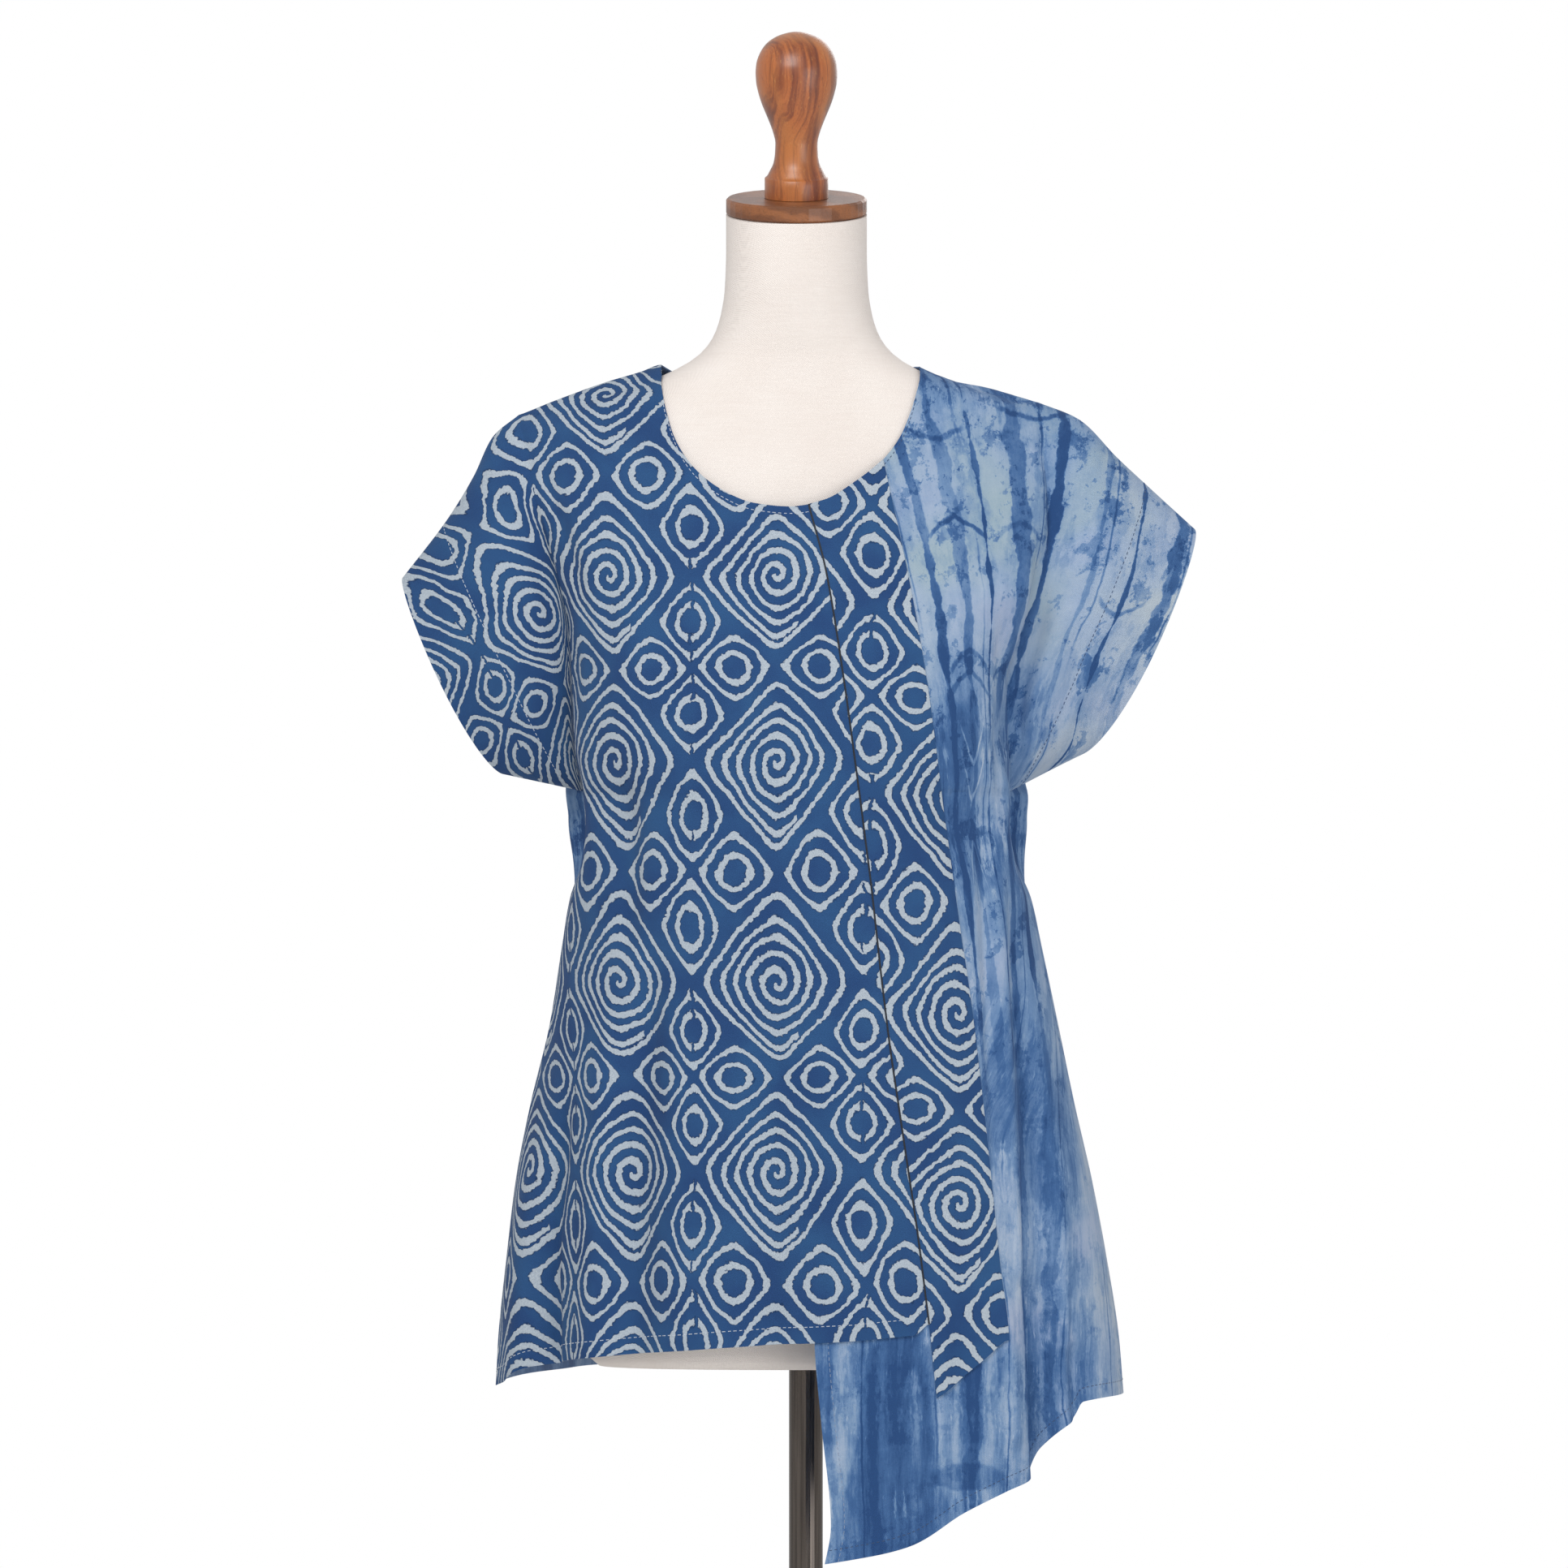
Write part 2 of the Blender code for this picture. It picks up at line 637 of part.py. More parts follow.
def on_neck(p):
    """Stands a point of the cap or finial on the tilted top of the neck."""
    c, s = math.cos(CAP_TILT), math.sin(CAP_TILT)
    y, z = p.y * c - p.z * s, p.y * s + p.z * c
    return Vector((p.x + FORM_X, y + NECK_LEAN, z + CAP_BOTTOM))


def stand():
    cloth = finish("form_cloth", (0.83, 0.78, 0.72), 0.85)
    dark_wood = finish("cap_wood", (0.23, 0.10, 0.045), 0.4)
    wood = finish("finial_wood", (0.40, 0.16, 0.05), 0.3)
    metal = finish("pole_metal", (0.16, 0.14, 0.13), 0.25, 1.0)
    body("form", FORM_POINTS, FORM_FACES, cloth, shift=FORM_X)
    cap = ((GAP, CAP_RADIUS - CAP_EDGE), (GAP + CAP_EDGE, CAP_RADIUS),
           (CAP_THICK - CAP_EDGE, CAP_RADIUS), (CAP_THICK, CAP_RADIUS - CAP_EDGE))
    turned("neck_cap", cap, FORM_STEPS, dark_wood, place=on_neck)
    finial = [(h + CAP_THICK, r) for h, r in FINIAL]
    turned("finial", finial, TURNED_STEPS, wood, top=FINIAL_TOP + CAP_THICK, place=on_neck)
    tube = ((BASE_THICK + GAP, POLE_RADIUS), (FORM_BOTTOM - GAP, POLE_RADIUS))
    turned("pole", tube, TURNED_STEPS, metal)
    plate = ((0, BASE_RADIUS), (BASE_THICK - BASE_RIM, BASE_RADIUS),
             (BASE_THICK, BASE_RADIUS - BASE_RIM))
    turned("base", plate, BASE_STEPS, metal)


def main():
    for thing in list(bpy.data.objects):
        bpy.data.objects.remove(thing, do_unlink=True)
    printed = finish("batik_cloth", (0.07, 0.14, 0.32), 0.8)
    dyed = finish("tie_dye_cloth", (0.17, 0.30, 0.55), 0.8)
    stand()
    front_batik(printed)
    front_strip(printed)
    front_tiedye(dyed)
    back(dyed)


main()
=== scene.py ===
"""Looks of a blouse cut from two cloths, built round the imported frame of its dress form.

Lengths in the tables are in millimetres, seen from the front about the form's own middle
line. A mesh moves them by FORM_X and scales them to metres. The front faces -Y.
"""
import math
from collections import namedtuple

import bpy
import numpy as np
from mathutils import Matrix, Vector
from mathutils.bvhtree import BVHTree


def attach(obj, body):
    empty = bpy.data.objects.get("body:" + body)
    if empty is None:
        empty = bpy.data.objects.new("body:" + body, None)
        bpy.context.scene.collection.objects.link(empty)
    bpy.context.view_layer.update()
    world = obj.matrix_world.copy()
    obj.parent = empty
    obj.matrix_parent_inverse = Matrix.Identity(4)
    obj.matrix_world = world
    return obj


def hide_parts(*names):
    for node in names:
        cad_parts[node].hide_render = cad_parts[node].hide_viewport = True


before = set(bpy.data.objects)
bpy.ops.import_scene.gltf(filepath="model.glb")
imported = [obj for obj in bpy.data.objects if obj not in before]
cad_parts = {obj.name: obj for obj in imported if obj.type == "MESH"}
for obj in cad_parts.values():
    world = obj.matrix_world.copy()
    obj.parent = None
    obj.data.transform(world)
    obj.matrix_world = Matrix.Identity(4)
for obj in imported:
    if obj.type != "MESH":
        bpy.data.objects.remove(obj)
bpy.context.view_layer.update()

MM = 0.001
FORM_X = -7.0

# Cloth
THICK = 0.8           # thickness of the cloth as it shows
SEAM = 0.4            # gap between two pieces that are sewn together
SEAM_ALONG_X = 0.48   # the same gap measured along x where the strip's edge slants
LAYER = 1.9           # how far a piece lies above the one under it, middle to middle
CLEAR = 2.0           # least distance from the form to the middle of a wall
SQUARE = 2.4          # squareness of the body's sections, 2 would be an ellipse
SETTLE_ROUNDS = 3     # times a wall is checked and moved out where it still cuts the form
ROUND = 140.0         # height over which the shoulder rounds into the chest and back
SIDE_FADE = 0.1       # share of a half front or back over which folds fade out at the side
LIFT_FROM = -45.0     # x from which the printed front rises to lie over the tie-dye front
LIFT_OVER = 40.0      # width over which it rises
CORNER_SHARE = 0.035  # share of the printed hem that its corner takes
CORNER_RISE = 7.0     # height by which that corner turns up
GROOVE = 1.1          # how deep the sewn edge between printed front and strip sinks
GROOVE_WIDTH = 3.0
SEAM_SHADOW_ACROSS = (-0.5, 0.85)   # the painted shadow along the sewn edge, a dark strip from and to, across from the print's edge
# how far the painted seam shadow's strip is lifted off the cloth
SEAM_SHADOW_LIFT = 0.22
# Stitches: how far in from the edge, and how long a stitch and the gap after it are
SLEEVE_TURNED = 50
PRINT_HEM_TURNED = 12
HEM_TURNED = 10
PRINT_NECK_TURNED = 6
NECK_TURNED = 5
STITCH = 2.4
EDGE_GAP = 1.7
GAP = 1.5

# Heights and resolution of the cloth
UNDERARM = 1051.0
SLEEVE_ROWS = 78      # rows from the shoulder to the underarm
SLEEVE_COLUMNS = 40
BODY_ROWS = 120       # rows from the underarm to the hem
FRONT_COLUMNS = 112
STRIP_COLUMNS = 22
BACK_COLUMNS = 150
LOWEST, HIGHEST = 470.0, 1375.0   # heights between which cloth is measured
FINE = 1200           # steps in which a line is read before a place on it is picked

# The dress form
FORM_SQUARE = 2.3
FORM_STEPS = 96
FORM_ROWS = 150
FORM_EDGE = 6.0       # how far the form's bottom edge rounds in
CAP_TILT = math.radians(10.0)
CAP_BOTTOM = 1477.0
CAP_THICK = 12.5
NECK_LEAN = -8.0
# Finial: height above the cap and radius
FINIAL = (
    (0.3, 23.5), (14.6, 23.5), (16.2, 21.8), (19.5, 20.0), (26, 17.0), (33, 15.9),
    (41, 15.6), (48, 17.1), (56, 19.9), (63, 22.8), (71, 26.0), (79, 28.4), (86, 29.8),
    (93, 30.2), (100, 29.6), (107, 27.2), (114, 22.6), (119.5, 15.0), (122, 8.0),
    (122.9, 4.0), (123.2, 0.2),
)
TURNED_STEPS = 72
# The dress form, a row for each section: half width, depth to the front and to the
# back, forward lean of the middle, and how much of the cap's tilt the section has
Section = namedtuple("Section", "z width front back lean tilt")
FORM = [Section(*row) for row in (
    (627, 152, 96, 104, 0, 0),
    (690, 160, 99, 114, 0, 0),
    (760, 161, 99, 116, 0, 0),
    (850, 145, 96, 98, 0, 0),
    (940, 119, 88, 80, 0, 0),
    (1020, 130, 103, 84, 0, 0),
    (1095, 146, 126, 92, 0, 0),
    (1150, 150, 115, 98, 0, 0),
    (1200, 155, 96, 99, 0, 0),
    (1250, 166, 77, 94, 0, 0),
    (1290, 176, 65, 82, 0, 0),
    (1315, 178, 55, 68, 0, 0),
    (1334, 166, 47, 56, 0, 0),
    (1347, 130, 44, 50, 0, 0),
    (1357, 102, 43, 47, 0, 0),
    (1365, 85, 43, 46, 0, 0),
    (1372, 74, 43, 46, 0, 0.1),
    (1380, 66, 43.5, 46, -1, 0.2),
    (1390, 60, 45, 46, -2, 0.3),
    (1405, 55.5, 47, 46, -3, 0.45),
    (1422, 53, 49, 48, -5, 0.65),
    (1450, 52, 51, 51, -7, 0.9),
    (1477, 52, 52, 52, NECK_LEAN, 1.0),
)]

# The blouse's body, a row for each height: where the left and right side seam or
# armhole crease lies, the front and back depth of the middle, and how far the cloth
# rolls out past the side in front and behind
Body = namedtuple("Body", "z left right front back front_roll back_roll")
BODY = [Body(*row) for row in (
    (480, 237, 253, 143, 136, 0, 0),
    (612, 222, 241, 139, 130, 0, 0),
    (648, 220, 238, 138, 128, 0, 0),
    (706, 214, 229, 136, 125, 0, 0),
    (764, 207, 218, 133, 121, 0, 0),
    (821, 196, 205, 132, 116, 0, 0),
    (879, 182, 193, 131, 110, 0, 0),
    (936, 173, 181, 130, 106, 0, 0),
    (972, 167, 173, 130, 105, 3, 5),
    (1000, 157, 161, 130, 104, 8, 17),
    (1030, 151, 153, 130, 104, 12, 27),
    (1051, 156, 157, 130, 104, 8, 24),
    (1085, 163, 156, 130, 104, 2, 14),
    (1129, 165, 154, 125, 104, 0, 4),
    (1173, 167, 166, 115, 105, 0, 0),
    (1205, 174, 181, 105, 106, 0, 0),
    (1240, 183, 185, 90, 105, 0, 0),
    (1273, 193, 184, 79, 100, 0, 0),
    (1300, 197, 181, 73, 94, 0, 0),
    (1329, 205, 179, 66, 88, 0, 0),
    (1370, 205, 179, 62, 84, 0, 0),
)]

# Lines seen from the front, as x and z
SHOULDER = (
    (-205, 1329), (-176, 1340), (-138, 1354), (-114, 1361), (-100, 1366),
    (90, 1364), (97, 1361), (115, 1354), (141, 1349), (166, 1342), (179, 1338),
)
NECKLINE = (
    (-100, 1366), (-99.5, 1356), (-98, 1343), (-92, 1317), (-79, 1293), (-56, 1273),
    (-30, 1262), (-5, 1259), (20, 1264), (42, 1277), (63, 1294), (78, 1315),
    (86, 1337), (89, 1352), (90, 1364),
)
BACK_NECKLINE = (
    (-100, 1366), (-88, 1360), (-62, 1352), (-30, 1347), (0, 1346), (30, 1347),
    (56, 1352), (79, 1359), (90, 1364),
)
OVERARM = {
    "left": ((-205, 1329), (-224, 1313), (-238, 1284), (-256, 1254), (-290, 1209)),
    "right": ((179, 1338), (208, 1326), (237, 1297), (268, 1268), (293, 1245)),
}
SLEEVE_CORNER = {"left": (-216, 1064), "right": (208, 1078)}
SLEEVE_BOW = {"left": 13.0, "right": 18.0}     # how far the sleeve's hem curves outward

# Edges that run down the front, as z and x
PRINT_EDGE = ((1259, 9), (1208, 22), (1139, 33), (1012, 50), (862, 68), (712, 90), (655, 97))
STRIP_EDGE = ((1294, 63), (1208, 81), (1139, 93), (1012, 110), (862, 131), (703, 148), (600, 158))
UNDER_EDGE = ((1262, 4), (1100, 6), (900, 8), (650, 13), (590, 18), (515, 25), (485, 20))

# Hems: how far round from the middle (0) to the side (1), and z
PRINT_HEM = ((-1.0, 612), (-0.82, 617), (-0.68, 629), (-0.4, 638), (0, 648), (0.3, 658), (0.4, 662))
TIE_DYE_HEM = (
    (0.0, 485), (0.16, 500), (0.27, 524), (0.38, 540), (0.47, 550), (0.52, 570),
    (0.58, 585), (0.64, 593), (0.68, 603), (0.8, 606), (1.0, 607),
)
BACK_HEM = ((-1.0, 612), (-0.8, 616), (-0.5, 622), (0.0, 626), (0.5, 618), (1.0, 607))
STRIP_TIP = (608, 650)          # z of the point, and of the higher corner
STRIP_FOOT = (600, 104)         # z and x to which the strip's left edge runs on
SLEEVE_DEPTH = {"front": (46, 50, 30), "back": (50, 50, 30)}   # at the crease, middle and hem

# Folds that hang from z_top to z_low: x at both ends, width of the cloth that turns in
# on the left and on the right of the trough, and its depth at the bottom
Fold = namedtuple("Fold", "x_top z_top x_low z_low left right depth")
FOLDS = {
    "front": [Fold(*row) for row in (
        (-165, 830, -190, 620, 13, 20, 11),
        (-118, 1010, -140, 660, 30, 30, 5),
        (-40, 960, -50, 650, 34, 34, 3),
        (165, 860, 182, 560, 6, 17, 17),
        (196, 800, 211, 590, 6, 14, 9),
        (163, 1040, 168, 860, 12, 16, 5),
    )],
    "back": [Fold(*row) for row in (
        (-150, 960, -180, 620, 18, 18, 11),
        (-85, 1120, -105, 620, 24, 24, 8),
        (-12, 1060, -20, 620, 26, 26, 6),
        (70, 1120, 88, 620, 24, 24, 9),
        (150, 960, 180, 620, 18, 18, 12),
    )],
}


# How far along the hem each of the tie-dye front's columns lands
TIE_DYE_FOOT = (0, 0.09, 0.18, 0.26, 0.33, 0.39, 0.43, 0.465, 0.49, 0.515, 0.55, 0.59, 0.63,
                0.66, 0.70, 0.8, 1.0)

# The block print: size of its repeat, where it starts, and how far the cut of the strip
# lies from where it is sewn
REPEAT_WIDE = 126.0
REPEAT_HIGH = 150.0
PRINT_COLUMN = -14.4
PRINT_ROW = 1209.0
PRINT_SWAY = 5.5      # rows lie this much above and below an even spacing, in turn
STRIP_CUT = (-7.0, 23.0)
# The printed shoulder leans back above this height, and there takes more cloth, by this
# times the square of the height above it
SHOULDER_ROUND = 1290.0
SHOULDER_LEAN = 0.0044
# The print on the sleeve, where the cloth hangs turned: a spiral's middle by its distance
# out from the armhole and its height, the same point on the flat cloth, and how far the
# cloth runs on for each mm outward and each mm up. The rest is hidden in the armhole's fold.
SPIRAL_PLACE = (21.0, 1182.0)
SPIRAL_CLOTH = (PRINT_COLUMN - 2 * REPEAT_WIDE, PRINT_ROW)
PRINT_OUT = (-1.16, 0.65)
PRINT_UP = (0.38, 1.10)
SLEEVE_FOLD = 2.5
SHOULDER_FOLD = 32.0     # at the shoulder, where nothing is hidden, the print runs on
SHOULDER_FOLD_FROM = 1235.0    # from this height to the next the fold opens
SHOULDER_FOLD_TO = 1305.0
LINE = 4.2            # width of the printed lines
COIL_PITCH = 0.157    # the large motif's lines, as shares of half the repeat
COIL_LINE = 0.41
COIL_TURNS = 4.0      # whole turns of the spiral's line before its last part
COIL_END = -0.19      # where that runs into the ring, as a share of a turn from the right
RING_REACH = 0.785
RING_SLANT = (0.03, -0.02)     # how much less the ring reaches to the right and upward
SMALL_RING = 0.71
INNER_RING = 0.335
SMALL_LONG = 0.94     # the small motifs are longer along their split
SMALL_NARROW = 1.1
KNOB = 0.8            # how much thicker a small motif's line is at its corners
SPLIT = 2.5           # width of the split in an upright small motif

# The tie-dye: width of the pleats in which the cloth was folded for the bath, and the
# stripes along the pleats, by their distance from the middle at height STRIPE_LEVEL,
# width and strength. They spread like a fan, more upright at STRIPE_UPRIGHT.
PLEAT = 27.0
STRIPE_LEVEL = 1222.0
STRIPE_UPRIGHT = 202.0
STRIPE_FAN = 0.0019
Stripe = namedtuple("Stripe", "place width strength")
STRIPES = [Stripe(*row) for row in (
    (22, 3, 0.5), (46, 8, 0.75), (68, 2, 0.8), (97, 6, 1.0),
    (121, 8, 0.6), (142, 2.2, 1.0), (170, 11, 0.6), (203, 7, 1.0),
    (236, 3, 0.35), (262, 2.2, 0.95), (290, 9, 0.6), (321, 13, 0.9),
    (346, 3, 0.5),
)]
# Below PLEATS_FALL the pleats hang straight: how far they are set off, and the stripes there
PLEATS_FALL = (940.0, 780.0)
PLEATS_OFF = 33.0
LOW_STRIPES = [Stripe(*row) for row in (
    (4, 5, 0.3), (56, 6, 0.35), (128, 9, 0.6), (179, 9, 0.5),
    (201, 8, 0.45),
)]
# Arched lines of the tie-dye: distance from the middle, top, half width, drop at the ends
# and strength, less than 0 where the line is pale
Arch = namedtuple("Arch", "place level half_width drop strength")
ARCHES = [Arch(*row) for row in (
    (121, 1257, 20, 17, 0.5), (168, 1252, 17, 12, 0.22), (121, 1152, 19, 14, 0.35),
    (119, 1136, 24, 20, 0.3), (168, 1140, 22, 12, 0.25), (121, 1320, 18, -9, 0.3),
    (185, 1338, 24, -8, 0.4), (118, 1070, 13, -26, -0.3), (118, 1042, 13, -30, -0.3),
    (118, 1010, 11, 28, -0.26), (262, 1180, 16, -12, 0.3),
)]
# Patches of the tie-dye: distance from the middle, height, half width, half height, and
# how much deeper the dye is there
Patch = namedtuple("Patch", "place level half_width half_height change")
PATCHES = [Patch(*row) for row in (
    (116, 1050, 24, 66, 0.18), (160, 1075, 20, 80, -0.2),
    (120, 930, 14, 62, -0.2), (176, 850, 26, 46, 0.12),
    (150, 940, 16, 60, -0.14), (156, 720, 16, 70, -0.22),
    (122, 720, 12, 50, -0.12), (203, 690, 10, 60, -0.12),
    (74, 560, 26, 120, 0.22), (34, 600, 9, 52, -0.24),
    (112, 605, 9, 66, -0.18), (142, 590, 8, 76, -0.18),
    (165, 615, 14, 76, -0.2), (126, 548, 24, 9, 0.2),
    (84, 600, 8, 26, -0.22), (14, 520, 14, 60, -0.1),
)]
# Shades of the dye from the palest to the deepest, and how deep it is at each height of
# the body and in the sleeves
DYE_SHADES = ((0.0, "b0bfd3"), (0.22, "98adca"), (0.45, "6f8fb8"), (0.7, "456a9c"),
              (1.0, "2b4d7f"))
DYE_DEPTHS = ((LOWEST, 0.68), (560, 0.64), (640, 0.52), (730, 0.42), (800, 0.54), (880, 0.44),
              (950, 0.30), (1010, 0.60), (1080, 0.74), (1120, 0.48), (1150, 0.22),
              (1300, 0.34), (HIGHEST, 0.56))
SLEEVE_DYE = 0.3

# The picture: the size that it spans and its middle, in metres, and the camera's distance
PICTURE_SIZE = 1.1592
PICTURE_MIDDLE = (-0.0162, 1.0564)
CAMERA_AWAY = 10.0

# Light: strength of the studio's white surround on the object, and watts of the lamps
AMBIENT = 0.57
KEY_POWER = 26.8
FILL_POWER = 22.0
BEHIND_POWER = 14.0

# Creases laid on the cloth: the line they follow as x and z, half width, and
# depth at the middle of the line. A negative depth stands out as a ridge.
Crease = namedtuple("Crease", "line width depth")
CREASES = {
    "front": [Crease(*row) for row in (
        # armhole of the printed front
        (((-197, 1318), (-186, 1280), (-174, 1235), (-163, 1180)), 8, 4.2),
        (((-176, 1275), (-166, 1220), (-156, 1165), (-150, 1110)), 8, 3.2),
        (((-204, 1262), (-186, 1210), (-170, 1155), (-160, 1110)), 7, 5.0),
        (((-140, 1240), (-141, 1180), (-142, 1105)), 12, 2.4),
        # hang of the printed front
        (((-132, 1090), (-126, 1040), (-124, 980), (-126, 920)), 10, 7.0),
        (((-104, 980), (-110, 870), (-116, 750), (-118, 640)), 12, 9.0),
        (((-80, 900), (-84, 780), (-84, 650)), 14, -5.5),
        (((-14, 930), (-16, 800), (-20, 660)), 18, 6.0),
        (((30, 900), (34, 780), (38, 670)), 18, -3.4),
        (((-138, 920), (-144, 830), (-149, 730), (-152, 640)), 11, -6.0),
        (((-166, 860), (-177, 770), (-186, 690), (-187, 615)), 6, 9.0),
        (((-190, 800), (-201, 710), (-207, 620)), 8, -6.0),
        # gathers that run into the armhole of the tie-dye front
        (((178, 1262), (181, 1222), (174, 1180), (160, 1128), (155, 1070)), 7, 6.5),
        (((190, 1205), (178, 1160), (166, 1118), (160, 1074)), 6, 5.5),
        (((172, 1235), (170, 1190), (157, 1140), (151, 1085)), 7, -3.8),
        (((150, 1200), (150, 1150), (149, 1090), (150, 1030)), 5, 4.1),
        (((205, 1180), (193, 1135), (178, 1098), (168, 1078)), 9, 4.1),
        (((216, 1160), (206, 1120), (192, 1090), (178, 1076)), 8, -2.9),
        # hang of the tie-dye front
        (((134, 1050), (138, 960), (142, 860), (149, 740)), 5, 4.3),
        (((147, 1040), (152, 930), (158, 820), (166, 700)), 6, -3.8),
        (((156, 1010), (164, 900), (176, 790), (190, 690)), 7, 4.9),
        (((170, 960), (180, 860), (194, 760), (206, 650)), 8, -3.5),
        (((112, 690), (118, 620), (120, 545)), 12, 3.5),
        (((60, 640), (62, 560), (64, 500)), 18, -2.3),
        (((146, 700), (156, 640), (160, 580)), 7, -4.3),
        (((176, 720), (190, 650), (200, 600)), 7, 4.3),
        (((92, 660), (94, 580), (96, 525)), 9, 2.6),
    )],
    "back": [Crease(*row) for row in (
        (((-197, 1318), (-184, 1260), (-170, 1200), (-160, 1120)), 9, 4.2),
        (((-168, 1255), (-156, 1190), (-148, 1120)), 8, 3.2),
        (((-206, 1235), (-188, 1170), (-170, 1105)), 8, 3.6),
        (((180, 1290), (178, 1230), (164, 1170), (156, 1100)), 8, 4.8),
        (((160, 1250), (156, 1190), (148, 1120)), 8, 3.2),
        (((206, 1205), (188, 1150), (172, 1100)), 8, 3.8),
        (((-60, 1190), (-20, 1178), (40, 1182)), 16, 1.6),
        (((-120, 1060), (-128, 960), (-140, 840), (-150, 700)), 11, 6.0),
        (((-50, 1080), (-56, 950), (-64, 800), (-70, 650)), 14, -5.0),
        (((34, 1080), (38, 950), (46, 800), (52, 640)), 12, 5.5),
        (((110, 1060), (118, 950), (132, 820), (142, 660)), 11, -5.0),
        (((158, 1010), (168, 900), (180, 780), (196, 650)), 8, 5.0),
        (((-164, 980), (-176, 860), (-190, 740), (-202, 640)), 8, -4.5),
    )],
}

# Cloth of the printed front that its hanging folds take up, which draws the print
# together: how far left of the middle that begins and over how far it grows, the same
# for the height, and how much cloth
Taken = namedtuple("Taken", "begin over top fall cloth")
TAKEN_UP = (Taken(-60, 60, 960, 170, 16), Taken(-140, 60, 960, 200, 32))

# A crease whose line ends below this height runs on to the hem
RUNS_ON_BELOW = 720.0

# Slack of the cloth between its creases: height of the waves, and their size across
# and down
SLACK = ((0.9, 62.0, 210.0), (0.45, 31.0, 120.0), (0.25, 17.0, 60.0))


def read(rows, value):
    """A smooth curve through (key, number) rows, read at each value."""
    keys, numbers = (np.array(c, float) for c in zip(*sorted(rows)))
    value = np.clip(np.asarray(value, float), keys[0], keys[-1])
    steps = np.diff(keys)
    rise = np.diff(numbers) / steps
    total = rise[:-1] + rise[1:]
    same_way = rise[:-1] * rise[1:] > 0
    inner = 2 * rise[:-1] * rise[1:] / np.where(same_way, total, 1)
    slopes = np.concatenate([rise[:1], np.where(same_way, inner, 0), rise[-1:]])
    at = np.clip(np.searchsorted(keys, value, side="right") - 1, 0, len(steps) - 1)
    s = (value - keys[at]) / steps[at]
    return (numbers[at] * (1 + 2 * s) * (1 - s) ** 2 + numbers[at + 1] * s * s * (3 - 2 * s)
            + steps[at] * s * (1 - s) * (slopes[at] * (1 - s) - slopes[at + 1] * s))


def column(table, name, z):
    return read([(row.z, getattr(row, name)) for row in table], z)


def smooth(s):
    s = np.clip(s, 0.0, 1.0)
    return s * s * (3 - 2 * s)


def mix(a, b, s):
    return a + (b - a) * s


def curve_at(points, shares):
    """x and z on a smooth curve through the points, at shares of its length."""
    points = np.array(points, float)
    marks = np.concatenate([[0], np.cumsum(np.linalg.norm(np.diff(points, axis=0), axis=1))])
    return [read(list(zip(marks, axis)), np.asarray(shares) * marks[-1]) for axis in points.T]


# The dress form

def form_rings(rows, steps):
    """Points of the form, a row for each ring."""
    z = np.linspace(FORM[0].z, FORM[-1].z, rows)[:, None]
    turn = np.linspace(0, 2 * math.pi, steps, endpoint=False)[None, :]
    c, s = np.cos(turn), np.sin(turn)
    depth = np.where(s > 0, column(FORM, "back", z), column(FORM, "front", z))
    power = 2 / FORM_SQUARE
    x = np.copysign(np.abs(c) ** power, c) * column(FORM, "width", z)
    y = np.copysign(np.abs(s) ** power, s) * depth
    tilt = CAP_TILT * column(FORM, "tilt", z)
    ring = np.stack([x, y * np.cos(tilt) + column(FORM, "lean", z), z + y * np.sin(tilt)], -1)
    rounding = 1 - np.sqrt(1 - (1 - np.clip((z - FORM[0].z) / FORM_EDGE, 0, 1)) ** 2)
    reach = np.hypot(ring[..., 0], ring[..., 1])
    ring[..., :2] *= (1 - FORM_EDGE * rounding / reach)[..., None]
    return ring


def lofted(rings):
    """Vertices and faces of a closed body through rings that run bottom to top."""
    count, steps = rings.shape[:2]
    faces = [[i for i in reversed(range(steps))]]
    for r in range(count - 1):
        for i in range(steps):
            j = (i + 1) % steps
            faces.append([r * steps + i, r * steps + j, (r + 1) * steps + j, (r + 1) * steps + i])
    faces.append([(count - 1) * steps + i for i in range(steps)])
    return rings.reshape(-1, 3), faces


FORM_POINTS, FORM_FACES = lofted(form_rings(FORM_ROWS, FORM_STEPS))
FORM_TREE = BVHTree.FromPolygons([Vector(p) for p in FORM_POINTS], FORM_FACES)


def pushed_clear(points):
    """The points, each moved out so that it lies at least CLEAR from the form."""
    out = np.array(points, float)
    for i, p in enumerate(out):
        point = Vector(p)
        near, normal, _, distance = FORM_TREE.find_nearest(point)
        if (point - near).dot(normal) < 0:
            out[i] = near + normal * CLEAR
        elif distance < CLEAR:
            out[i] = near + (point - near).normalized() * CLEAR
    return out


# The surface of the blouse

def sided(table, name_of_side, t, z):
    """A column that has one value on the left (t < 0) and another on the right."""
    return np.where(t < 0, column(table, name_of_side("left"), z),
                    column(table, name_of_side("right"), z))


def crease_depth(face, t, z):
    """How far the armhole crease lies in front of, or behind, the shoulder seam."""
    depths = []
    for side in ("left", "right"):
        top = OVERARM[side][0][1]
        down = np.clip((top - z) / (top - UNDERARM), 0, 1)
        depths.append(SLEEVE_DEPTH[face][0] * np.sin(np.arccos(1 - 2 * down)))
    return np.where(t < 0, *depths)


